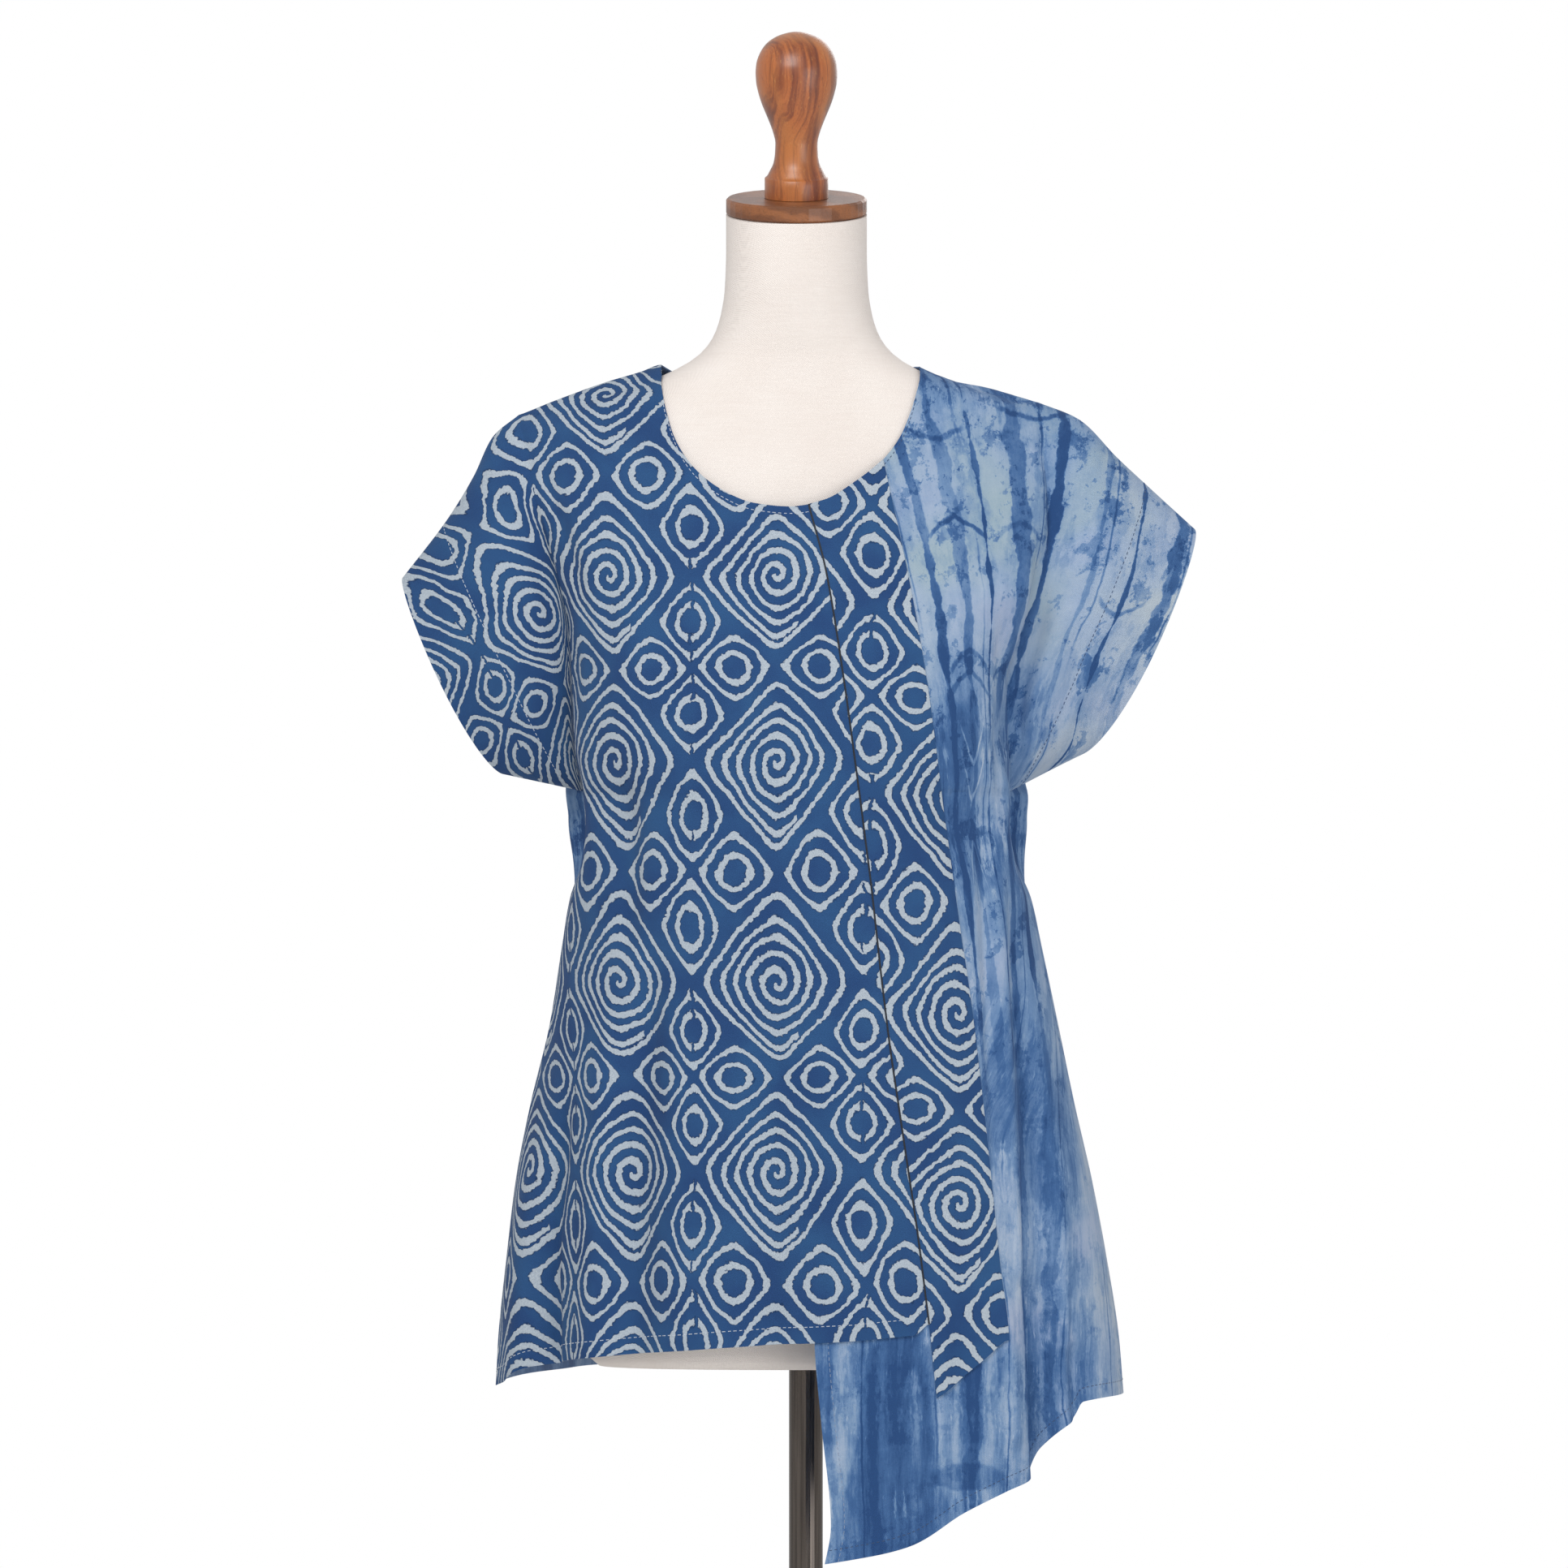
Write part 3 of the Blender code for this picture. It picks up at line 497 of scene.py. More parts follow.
def body_outline(face, t, z):
    """x and depth of the body at height z, t from -1 at the left side to 1 at the right."""
    sign = np.where(t < 0, -1.0, 1.0)
    turn = np.clip(np.abs(t), 0, 1) * math.pi / 2
    power = 2 / SQUARE
    x = sign * sided(BODY, lambda side: side, t, z) * np.sin(turn) ** power
    rest = crease_depth(face, t, z)
    fall = np.clip((read(SHOULDER, x) - z) / ROUND, 0, 1)
    middle = column(BODY, face, z) * np.sqrt(1 - (1 - fall) ** 2)
    depth = rest + (middle - rest) * np.clip(np.cos(turn), 0, 1) ** power
    swell = np.sin(math.pi * smooth((np.abs(t) - 0.5) / 0.5)) ** 2
    return x + sign * column(BODY, face + "_roll", z) * swell, depth


def folded(face, x, z):
    """How far the large folds pull the cloth in at x and z."""
    pull = 0.0
    for fold in FOLDS[face]:
        run = (fold.z_top - z) / (fold.z_top - fold.z_low)
        off = x - mix(fold.x_top, fold.x_low, run)
        width = np.where(off < 0, fold.left, fold.right)
        pull = pull + fold.depth * smooth(run) * np.exp(-(off / width) ** 2)
    return pull


def creased(face, x, z):
    """How far the creases and the slack move the cloth in at x and z."""
    pull = np.zeros(np.broadcast(x, z).shape)
    for crease in CREASES[face]:
        shares = np.linspace(0, 1, 4 * len(crease.line))
        line = np.stack(curve_at(crease.line, shares), -1)
        best = np.full(pull.shape, 1e9)
        place = np.zeros(pull.shape)
        for i, (a, b) in enumerate(zip(line, line[1:])):
            run = b - a
            s = np.clip(((x - a[0]) * run[0] + (z - a[1]) * run[1]) / (run @ run), 0, 1)
            gap = np.hypot(x - a[0] - s * run[0], z - a[1] - s * run[1])
            nearer = gap < best
            best = np.where(nearer, gap, best)
            place = np.where(nearer, (i + s) / (len(line) - 1), place)
        taper = smooth(place / 0.35) * smooth((1 - place) / 0.25)
        taper = np.maximum(taper, smooth(place / 0.35) * (crease.line[-1][1] < RUNS_ON_BELOW))
        pull += crease.depth * taper * np.exp(-(best / crease.width) ** 2)
    for i, (height, across_it, down_it) in enumerate(SLACK):
        lean = 0.12 * z + 9 * i
        wave = np.sin((x + lean) / across_it * 2.3 + 1.7 * np.sin(z / down_it * 2.1 + i))
        pull += height * wave * np.sin(z / down_it * 2.9 + x / (2.7 * across_it) + 2 * i)
    return pull


def body_points(face, t, z, extra=0.0):
    """Points of the body. Extra is added to how far the cloth is pulled in."""
    x, depth = body_outline(face, t, z)
    nudge = 0.004
    xa, da = body_outline(face, np.clip(t - nudge, -1, 1), z)
    xb, db = body_outline(face, np.clip(t + nudge, -1, 1), z)
    length = np.maximum(np.hypot(xb - xa, db - da), 1e-9)
    pull = (folded(face, x, z) + creased(face, x, z)) * smooth((1 - np.abs(t)) / SIDE_FADE)
    pull = pull + extra
    px = x + (db - da) / length * pull
    depth = depth - (xb - xa) / length * pull
    return np.stack([px, depth if face == "back" else -depth, z + 0 * x], -1)


def across(x, z):
    """The t of a point of the front or back view."""
    x, z = np.asarray(x, float), np.asarray(z, float)
    share = np.clip(np.abs(x) / sided(BODY, lambda side: side, x, z), 0, 1)
    return np.copysign(2 / math.pi * np.arcsin(share ** (SQUARE / 2)), x)


def row_shares(side, hem):
    """Shares of the way down the side at which the rows lie: sleeve rows, then body rows."""
    top = OVERARM[side][0][1]
    turn = np.linspace(0, math.pi, SLEEVE_ROWS + 1)
    upper = (top - UNDERARM) * (1 - np.cos(turn)) / 2 / (top - hem)
    return np.concatenate([upper, np.linspace(upper[-1], 1, BODY_ROWS + 1)[1:]])


def neckline_points(first, last, shares):
    """Points of the front neckline between two of its x, at shares of the way."""
    whole = np.linspace(0, 1, FINE + 1)
    x, _ = curve_at(NECKLINE, whole)
    ends = [whole[np.argmin(np.abs(x - end))] for end in (first, last)]
    return curve_at(NECKLINE, mix(*ends, np.asarray(shares)))


def shoulder_points(side, shares):
    """Points of the shoulder seam from the neck out to the armhole crease."""
    near = NECKLINE[0 if side == "left" else -1][0]
    x = mix(near, OVERARM[side][0][0], np.asarray(shares))
    return x, read(SHOULDER, x)


def joined(share_of_neck, columns, neck, shoulder):
    """The top edge: neck points for the first share of the columns, then the shoulder's."""
    c = columns / share_of_neck
    beyond = (columns - share_of_neck) / (1 - share_of_neck)
    neck_x, neck_z = neck(np.clip(c, 0, 1))
    out_x, out_z = shoulder(np.clip(beyond, 0, 1))
    return np.where(c <= 1, neck_x, out_x), np.where(c <= 1, neck_z, out_z)


def body_grid(face, tops, start, end, foot, hem, shares, sunk=0.0):
    """t, z and points of the body, a row for each share of the way down to the hem.

    tops are x and z of the top edge, start and end give the t of the two vertical edges
    at a height, foot says how far along the hem each column lands. The first and last
    columns keep to the vertical edges. sunk is how far each column is pressed in.
    """
    top_x, top_z = tops
    begun = (across(top_x, top_z) - start(top_z)) / (end(top_z) - start(top_z))
    begun[[0, -1]] = foot[[0, -1]]
    low = hem(mix(start(hem(0.0)), end(hem(0.0)), foot))
    share = shares[:, None]
    z = mix(top_z[None, :], low[None, :], share)
    part = mix(begun[None, :], foot[None, :], smooth(share / 0.5))
    t = mix(start(z), end(z), part)
    return t, z, body_points(face, t, z, sunk)


def sleeve_points(face, side):
    """Points of one side of a sleeve: rows from overarm to underarm, columns outward."""
    u = np.linspace(0, 1, SLEEVE_COLUMNS + 1)[None, :]
    turn = np.linspace(0, math.pi, SLEEVE_ROWS + 1)[:, None]
    sign = -1.0 if side == "left" else 1.0
    top_x, top_z = curve_at(OVERARM[side], u)
    under_x = sign * column(BODY, side, UNDERARM)
    corner = SLEEVE_CORNER[side]
    down = (1 - np.cos(turn)) / 2
    x = mix(top_x, mix(under_x, corner[0], u), down)
    z = mix(top_z, mix(UNDERARM, corner[1], u), down)
    x = x + sign * SLEEVE_BOW[side] * u * np.sin(turn) * (0.7 + 0.5 * down)
    first = OVERARM[side][0]
    crease_x, _ = body_outline(face, sign, mix(first[1], UNDERARM, down))
    x = x + (crease_x - mix(first[0], under_x, down)) * (1 - u) ** 2
    depths = SLEEVE_DEPTH[face]
    depth = read(((0, depths[0]), (0.4, depths[1]), (1, depths[2])), u) * np.sin(turn)
    depth = depth - creased(face, x, z) * smooth(u / 0.12) * smooth(np.sin(turn) / 0.4)
    return np.stack([x, depth if face == "back" else -depth, z], -1)


# From surface to cloth

# A grid of cloth: points, cloth coordinates and which points are sewn to another piece
Grid = namedtuple("Grid", "points cloth sewn")
# A finished piece: its object, and each grid's place on the outer face with its normal
Piece = namedtuple("Piece", "thing grids")


def widths_table(face):
    """Length along the cloth from the middle, at many heights and t."""
    z = np.linspace(LOWEST, HIGHEST, 120)[:, None]
    t = np.linspace(-1, 1, 161)[None, :]
    x, depth = body_outline(face, t + 0 * z, z + 0 * t)
    steps = np.hypot(np.diff(x, axis=1), np.diff(depth, axis=1))
    run = np.concatenate([np.zeros((len(z), 1)), np.cumsum(steps, axis=1)], axis=1)
    return z[:, 0], t[0], run - run[:, 80:81]


def heights_table(face):
    """Length along the cloth up to each height, and equal to z at the print's first row."""
    z = np.linspace(LOWEST, HIGHEST, 400)
    _, depth = body_outline(face, 0.3 + 0 * z, z)
    run = np.concatenate([[0], np.cumsum(np.hypot(np.diff(z), np.diff(depth)))])
    return z, run - np.interp(PRINT_ROW, z, run) + PRINT_ROW


def cloth_coordinates(face, t, z):
    """Where a point of the body lies on the flat cloth, in millimetres."""
    heights, places, run = WIDTHS[face]
    row = np.clip((z - heights[0]) / (heights[1] - heights[0]), 0, len(heights) - 1.001)
    col = np.clip((t - places[0]) / (places[1] - places[0]), 0, len(places) - 1.001)
    r, c = row.astype(int), col.astype(int)
    fr, fc = row - r, col - c
    u = (run[r, c] * (1 - fr) * (1 - fc) + run[r + 1, c] * fr * (1 - fc)
         + run[r, c + 1] * (1 - fr) * fc + run[r + 1, c + 1] * fr * fc)
    return np.stack([u, np.interp(z, *HEIGHTS[face])], -1)


def sleeve_grid(face, side, crease, crease_cloth):
    """The grid of one side of a sleeve, whose first column is the body's crease."""
    points = sleeve_points(face, side)
    points[:, 0] = crease
    sign = -1.0 if side == "left" else 1.0
    steps = np.linalg.norm(np.diff(points[..., :2], axis=1), axis=2)
    out = np.concatenate([np.zeros((len(points), 1)), np.cumsum(steps, axis=1)], axis=1)
    u = crease_cloth[:, :1] + sign * out
    lift = (crease_cloth[:, 1] - crease[:, 2])[:, None]
    v = points[..., 2] + lift
    if side == "left":
        aside, above = out - SPIRAL_PLACE[0], points[..., 2] - SPIRAL_PLACE[1]
        opening = (points[..., 2] - SHOULDER_FOLD_FROM) / (SHOULDER_FOLD_TO - SHOULDER_FOLD_FROM)
        fold = mix(SLEEVE_FOLD, SHOULDER_FOLD, smooth(opening))
        hidden = 1 - np.exp(-out / fold)
        u = mix(u, SPIRAL_CLOTH[0] + aside * PRINT_OUT[0] + above * PRINT_UP[0], hidden)
        v = mix(v, SPIRAL_CLOTH[1] + aside * PRINT_OUT[1] + above * PRINT_UP[1], hidden)
    sewn = np.zeros(points.shape[:2], bool)
    sewn[[0, -1]] = True
    return Grid(points, np.stack([u, v], -1), sewn)


def welded(grids):
    """Welded points, their cloth coordinates, sewn marks, faces, and each grid's numbers."""
    flat = np.concatenate([g.points.reshape(-1, 3) for g in grids])
    cloth = np.concatenate([g.cloth.reshape(-1, 2) for g in grids])
    sewn = np.concatenate([g.sewn.reshape(-1) for g in grids])
    _, first, number = np.unique(np.round(flat, 3), axis=0, return_index=True,
                                 return_inverse=True)
    number = number.reshape(-1)
    together = np.zeros(len(first), bool)
    np.logical_or.at(together, number, sewn)
    ids, start, faces = [], 0, []
    for g in grids:
        rows, cols = g.points.shape[:2]
        own = number[start:start + rows * cols].reshape(rows, cols)
        start += rows * cols
        ids.append(own)
        quads = np.stack([own[:-1, :-1], own[:-1, 1:], own[1:, 1:], own[1:, :-1]], -1)
        faces += [tuple(dict.fromkeys(q)) for q in quads.reshape(-1, 4).tolist()]
    return flat[first], cloth[first], together, [f for f in faces if len(f) > 2], ids


def face_normals(points, faces):
    corners = np.array([(f[0], f[1], f[2], f[3 % len(f)]) for f in faces])
    a, b, c, d = (points[corners[:, i]] for i in range(4))
    return np.cross(c - a, d - b), corners


def point_normals(points, faces):
    normals, corners = face_normals(points, faces)
    total = np.zeros_like(points)
    for i in range(4):
        np.add.at(total, corners[:, i], normals)
    return total / np.maximum(np.linalg.norm(total, axis=1, keepdims=True), 1e-9)


def settled(points, faces):
    """Points moved out until the faces' middles are clear of the form too."""
    corners = np.array([(f[0], f[1], f[2], f[3 % len(f)]) for f in faces])
    points = pushed_clear(points)
    for _ in range(SETTLE_ROUNDS):
        middles = points[corners].mean(axis=1)
        push = pushed_clear(middles) - middles
        by_length = np.argsort(np.linalg.norm(push, axis=1))
        moved = np.zeros_like(points)
        moved[corners[by_length].reshape(-1)] = np.repeat(push[by_length], 4, axis=0)
        points = points + moved
    return points


def cloth_piece(name, grids, face, lift, material):
    """A thin cloth through the grids, lifted off what it lies on."""
    points, cloth, sewn, faces, ids = welded(grids)
    away = np.array([0.0, 1.0 if face == "back" else -1.0, 0.0])
    if face_normals(points, faces)[0].sum(axis=0) @ away < 0:
        faces = [tuple(reversed(f)) for f in faces]
    points = settled(points, faces)
    normals = point_normals(points, faces)
    normals[sewn, 1] = 0
    normals /= np.maximum(np.linalg.norm(normals, axis=1, keepdims=True), 1e-9)
    points = points + np.where(sewn[:, None], away * SEAM / 2, 0)
    points = points + normals * lift(points)[:, None]
    outer, inner = points + normals * THICK / 2, points - normals * THICK / 2
    count = len(points)
    shell = faces + [tuple(i + count for i in reversed(f)) for f in faces]
    edges = {(f[i], f[(i + 1) % len(f)]) for f in faces for i in range(len(f))}
    shell += [(b, a, a + count, b + count) for a, b in edges if (b, a) not in edges]
    thing = mesh_thing(name, np.concatenate([outer, inner]), shell, material)
    values = np.zeros((2 * count, 3), np.float32)
    values[:, :2] = np.concatenate([cloth, cloth])
    values[count:, 2] = 1.0
    held = thing.data.attributes.new("cloth", "FLOAT_VECTOR", "POINT")
    held.data.foreach_set("vector", values.ravel())
    return Piece(thing, [(outer[own], normals[own]) for own in ids])


def mesh_thing(name, points, faces, material, shift=FORM_X, sharp=math.radians(60)):
    points = np.array(points, float) + (shift, 0, 0)
    mesh = bpy.data.meshes.new(name)
    mesh.from_pydata((points * MM).tolist(), [], faces)
    mesh.materials.append(material)
    mesh.shade_smooth()
    mesh.set_sharp_from_angle(angle=sharp)
    thing = bpy.data.objects.new(name, mesh)
    bpy.context.scene.collection.objects.link(thing)
    return thing


# The pieces of the blouse

def clustered(count, power, *kept):
    """Shares of the way, closer together at the start, the nearest moved to each kept one."""
    shares = np.linspace(0, 1, count + 1) ** power
    for share in kept:
        shares[np.argmin(np.abs(shares - share))] = share
    return shares


def edge_groove(distance, width=GROOVE_WIDTH, depth=GROOVE):
    """How deep the cloth is pressed in at a distance from a sewn edge."""
    return depth * np.exp(-(distance / width) ** 2)


def front_batik(material):
    neck = 8 / 14
    columns = clustered(FRONT_COLUMNS, 1.35, neck)
    tops = joined(neck, columns,
                  lambda s: neckline_points(PRINT_EDGE[0][1], NECKLINE[0][0], s),
                  lambda s: shoulder_points("left", s))
    corner = across(PRINT_EDGE[-1][1], PRINT_EDGE[-1][0])

    def hem(t):
        return read(PRINT_HEM, t) + CORNER_RISE * (1 - smooth((corner - t) / CORNER_SHARE))

    t, z, points = body_grid("front", tops, lambda z: across(read(PRINT_EDGE, z), z),
                             lambda z: -1.0 + 0 * z, columns, hem,
                             row_shares("left", hem(-1.0)), edge_groove(300 * columns))
    cloth = cloth_coordinates("front", t, z)
    taken = 0.0
    for fold in TAKEN_UP:
        share = smooth((fold.begin - cloth[..., 0]) / fold.over)
        taken = taken + fold.cloth * share * smooth((fold.top - z) / fold.fall)
    cloth[..., 0] -= taken
    cloth[..., 1] += SHOULDER_LEAN * np.maximum(z - SHOULDER_ROUND, 0) ** 2
    body = Grid(points, cloth, sewn_edges(points, columns, neck))
    rows = SLEEVE_ROWS + 1
    sleeve = sleeve_grid("front", "left", points[:rows, -1], cloth[:rows, -1])
    return cloth_piece("front_batik_cloth", [body, sleeve], "front",
                       lambda p: LAYER * smooth((p[:, 0] - LIFT_FROM) / LIFT_OVER), material)


def sewn_edges(points, columns, neck):
    """Marks the shoulder and the side seam of a front."""
    sewn = np.zeros(points.shape[:2], bool)
    sewn[0, columns >= neck] = True
    sewn[SLEEVE_ROWS:, -1] = True
    return sewn


def front_tiedye(material):
    neck = 0.5
    columns = clustered(FRONT_COLUMNS, 1.15, neck)
    tops = joined(neck, columns,
                  lambda s: neckline_points(UNDER_EDGE[0][1], NECKLINE[-1][0], s),
                  lambda s: shoulder_points("right", s))
    foot = read([(i / 16, share) for i, share in enumerate(TIE_DYE_FOOT)], columns)

    def hem(t):
        return read(TIE_DYE_HEM, t)

    t, z, points = body_grid("front", tops, lambda z: across(read(UNDER_EDGE, z), z),
                             lambda z: 1.0 + 0 * z, foot, hem, row_shares("right", hem(1.0)))
    cloth = cloth_coordinates("front", t, z)
    body = Grid(points, cloth, sewn_edges(points, columns, neck))
    rows = SLEEVE_ROWS + 1
    sleeve = sleeve_grid("front", "right", points[:rows, -1], cloth[:rows, -1])
    return cloth_piece("front_tiedye_cloth", [body, sleeve], "front",
                       lambda p: 0 * p[:, 0], material)


def front_strip(material):
    even = np.linspace(0, 1, STRIP_COLUMNS + 1)
    columns = mix(even, (1 - np.cos(math.pi * even)) / 2, 0.6)
    tops = neckline_points(PRINT_EDGE[0][1] + SEAM, STRIP_EDGE[0][1], columns)
    left = [(z, x + SEAM_ALONG_X) for z, x in PRINT_EDGE] + [STRIP_FOOT]

    def start(z):
        return across(read(left, z), z)

    def end(z):
        return across(read(STRIP_EDGE, z), z)

    def hem(t):
        low, high = start(STRIP_TIP[0]), end(STRIP_TIP[1])
        return mix(STRIP_TIP[0], STRIP_TIP[1], np.clip((t - low) / (high - low), 0, 1))

    rows = SLEEVE_ROWS + BODY_ROWS
    sunk = edge_groove(60 * columns) + edge_groove(60 * (1 - columns), 1.6, 0.7)
    t, z, points = body_grid("front", tops, start, end, columns, hem,
                             np.linspace(0, 1, rows + 1), sunk)
    cloth = cloth_coordinates("front", t, z) + STRIP_CUT
    body = Grid(points, cloth, np.zeros(points.shape[:2], bool))
    return cloth_piece("front_strip_cloth", [body], "front", lambda p: LAYER + 0 * p[:, 0],
                       material)


def back(material):
    share = 6 / 22
    columns = clustered(BACK_COLUMNS, 1.0, share, 1 - share)
    left_x, left_z = shoulder_points("left", np.clip(1 - columns / share, 0, 1))
    right_x, right_z = shoulder_points("right", np.clip(1 - (1 - columns) / share, 0, 1))
    neck_x, neck_z = curve_at(BACK_NECKLINE, np.clip((columns - share) / (1 - 2 * share), 0, 1))
    tops = [np.where(columns < share, a, np.where(columns > 1 - share, b, c))
            for a, b, c in ((left_x, right_x, neck_x), (left_z, right_z, neck_z))]

    def hem(t):
        return read(BACK_HEM, t)

    sides = []
    for side, t in (("left", -1.0), ("right", 1.0)):
        sides.append(body_grid("back", tops, lambda z: -1.0 + 0 * z, lambda z: 1.0 + 0 * z,
                               columns, hem, row_shares(side, hem(t))))
    blend = smooth((columns - 0.3) / 0.4)[None, :]
    t, z = (mix(a, b, blend) for a, b in zip(sides[0][:2], sides[1][:2]))
    points = mix(sides[0][2], sides[1][2], blend[..., None])
    cloth = cloth_coordinates("back", t, z)
    sewn = np.zeros(points.shape[:2], bool)
    sewn[0, (columns <= share) | (columns >= 1 - share)] = True
    sewn[SLEEVE_ROWS:, [0, -1]] = True
    rows = SLEEVE_ROWS + 1
    left = sleeve_grid("back", "left", points[:rows, 0], cloth[:rows, 0])
    right = sleeve_grid("back", "right", points[:rows, -1], cloth[:rows, -1])
    flipped = Grid(*(part[:, ::-1] for part in left))
    return cloth_piece("back_cloth", [Grid(points, cloth, sewn), flipped, right], "back",
                       lambda p: 0 * p[:, 0], material)


# Stitches

def inset(edge_first, distance):
    """A line at a distance in from an edge, from points and normals that start there."""
    points, normals = edge_first
    steps = np.linalg.norm(np.diff(points, axis=1), axis=2)
    run = np.concatenate([np.zeros((len(points), 1)), np.cumsum(steps, axis=1)], axis=1)
    places, ups = [], []
    for own, up, marks in zip(points, normals, run):
        if marks[-1] < distance:
            continue
        places.append([np.interp(distance, marks, own[:, k]) for k in range(3)])
        ups.append([np.interp(distance, marks, up[:, k]) for k in range(3)])
    return np.array(places), np.array(ups)


def stitches(name, lines, length, gap, material, width=0.55, height=0.35, seed=3):
    """Sewing thread that shows as dashes along the lines."""
    random = np.random.default_rng(seed)
    points, faces = [], []
    for places, ups in lines:
        steps = np.linalg.norm(np.diff(places, axis=0), axis=1)
        marks = np.concatenate([[0], np.cumsum(steps)])
        at = 0.5 * length
        while at + length < marks[-1]:
            ends = [at, at + length * random.uniform(0.8, 1.1)]
            a, b = (np.array([np.interp(s, marks, places[:, k]) for k in range(3)])
                    for s in ends)
            up = np.array([np.interp(at, marks, ups[:, k]) for k in range(3)])
            up /= np.linalg.norm(up)
            run = (b - a) / max(np.linalg.norm(b - a), 1e-9)
            aside = np.cross(up, run) * width / 2
            first = len(points)
            middle = (a + b) / 2 + up * height
            points += [a - aside, a + aside, b + aside, b - aside,
                       middle - 0.5 * aside, middle + 0.5 * aside]
            faces += [[first + i for i in f] for f in
                      ((0, 4, 5, 1), (3, 2, 5, 4), (0, 3, 4), (1, 5, 2), (0, 1, 2, 3))]
            at += length + gap
    return mesh_thing(name, points, faces, material)


# Materials, worked out by nodes from the cloth coordinates or from the object's own place

def shade(hexed):
    """A linear colour from its sRGB digits."""
    parts = [int(hexed[i:i + 2], 16) / 255 for i in (0, 2, 4)]
    return [c / 12.92 if c <= 0.04045 else ((c + 0.055) / 1.055) ** 2.4 for c in parts]


class Field:
    """A number that a material's nodes work out at each point."""

    def __init__(self, tree, socket):
        self.tree = tree
        self.socket = socket

    def done(self, operation, *others):
        node = self.tree.nodes.new("ShaderNodeMath")
        node.operation = operation
        for entry, value in zip(node.inputs, (self, *others)):
            if isinstance(value, Field):
                self.tree.links.new(value.socket, entry)
            else:
                entry.default_value = value
        return Field(self.tree, node.outputs[0])

    def __add__(self, other):
        return self.done("ADD", other)

    def __sub__(self, other):
        return self.done("SUBTRACT", other)

    def __mul__(self, other):
        return self.done("MULTIPLY", other)

    def __neg__(self):
        return self.done("MULTIPLY", -1.0)

    def __abs__(self):
        return self.done("ABSOLUTE")

    def wrapped(self, half):
        return self.done("WRAP", half, -half)

    def least(self, other):
        return self.done("MINIMUM", other)

    def most(self, other):
        return self.done("MAXIMUM", other)

    def rising(self, low, high):
        """0 below low and 1 above high, with a soft step between, or falling if low > high."""
        node = self.tree.nodes.new("ShaderNodeMapRange")
        node.interpolation_type = "SMOOTHSTEP"
        self.tree.links.new(self.socket, node.inputs["Value"])
        flipped = low > high
        node.inputs["From Min"].default_value = min(low, high)
        node.inputs["From Max"].default_value = max(low, high)
        node.inputs["To Min"].default_value = 1.0 if flipped else 0.0
        node.inputs["To Max"].default_value = 0.0 if flipped else 1.0
        return Field(self.tree, node.outputs[0])

    def toward(self, other, share):
        """This number where share is 0, the other where it is 1."""
        return self + (other - self) * share


def new_material(name, color, roughness, **sockets):
    material = bpy.data.materials.new(name)
    material.use_nodes = True
    shader = material.node_tree.nodes["Principled BSDF"]
    shader.inputs["Base Color"].default_value = (*shade(color), 1)
    shader.inputs["Roughness"].default_value = roughness
    for key, value in sockets.items():
        shader.inputs[key.replace("_", " ")].default_value = value
    return material, material.node_tree, shader


def placed(tree, x, y, z=0.0):
    """A vector from three numbers."""
    node = tree.nodes.new("ShaderNodeCombineXYZ")
    for entry, value in zip(node.inputs, (x, y, z)):
        if isinstance(value, Field):
            tree.links.new(value.socket, entry)
        else:
            entry.default_value = value
    return node.outputs[0]


def noise(tree, vector, detail=2.0, roughness=0.5):
    """Noise round 0, mostly between -1 and 1, with features about as wide as the vector's unit."""
    node = tree.nodes.new("ShaderNodeTexNoise")
    node.inputs["Scale"].default_value = 1.0
    node.inputs["Detail"].default_value = detail
    node.inputs["Roughness"].default_value = roughness
    tree.links.new(vector, node.inputs["Vector"])
    return (Field(tree, node.outputs["Fac"]) - 0.5) * 4.0


def blended(tree, share, below, above):
    """A colour between two, each a colour socket or sRGB digits."""
    node = tree.nodes.new("ShaderNodeMix")
    node.data_type = "RGBA"
    tree.links.new(share.socket, node.inputs["Factor"])
    for key, value in (("A", below), ("B", above)):
        entry = [s for s in node.inputs if s.name == key and s.type == "RGBA"][0]
        if isinstance(value, str):
            entry.default_value = (*shade(value), 1)
        else:
            tree.links.new(value, entry)
    return [s for s in node.outputs if s.type == "RGBA"][0]


def ramp(tree, value, stops, low=0.0, high=1.0):
    """A colour for a number between low and high. A stop is a share or number and digits."""
    node = tree.nodes.new("ShaderNodeValToRGB")
    parts = node.color_ramp.elements
    while len(parts) < len(stops):
        parts.new(0.5)
    for part, (place, digits) in zip(parts, stops):
        part.position = (place - low) / (high - low)
        part.color = (*shade(digits), 1) if isinstance(digits, str) else (*[digits] * 3, 1)
    share = (value - low) * (1 / (high - low))
    tree.links.new(share.socket, node.inputs["Fac"])
    return node.outputs["Color"]


def cloth_fields(tree):
    """u and v on the flat cloth in millimetres, and 1 on the reverse face."""
    held = tree.nodes.new("ShaderNodeAttribute")
    held.attribute_name = "cloth"
    parts = tree.nodes.new("ShaderNodeSeparateXYZ")
    tree.links.new(held.outputs["Vector"], parts.inputs[0])
    return [Field(tree, parts.outputs[i]) for i in range(3)]


def painted(tree, shader, color):
    tree.links.new(color, shader.inputs["Base Color"])


def bumped(tree, shader, height, distance, strength=1.0):
    node = tree.nodes.new("ShaderNodeBump")
    node.inputs["Strength"].default_value = strength
    node.inputs["Distance"].default_value = distance
    tree.links.new(height.socket, node.inputs["Height"])
    tree.links.new(node.outputs[0], shader.inputs["Normal"])


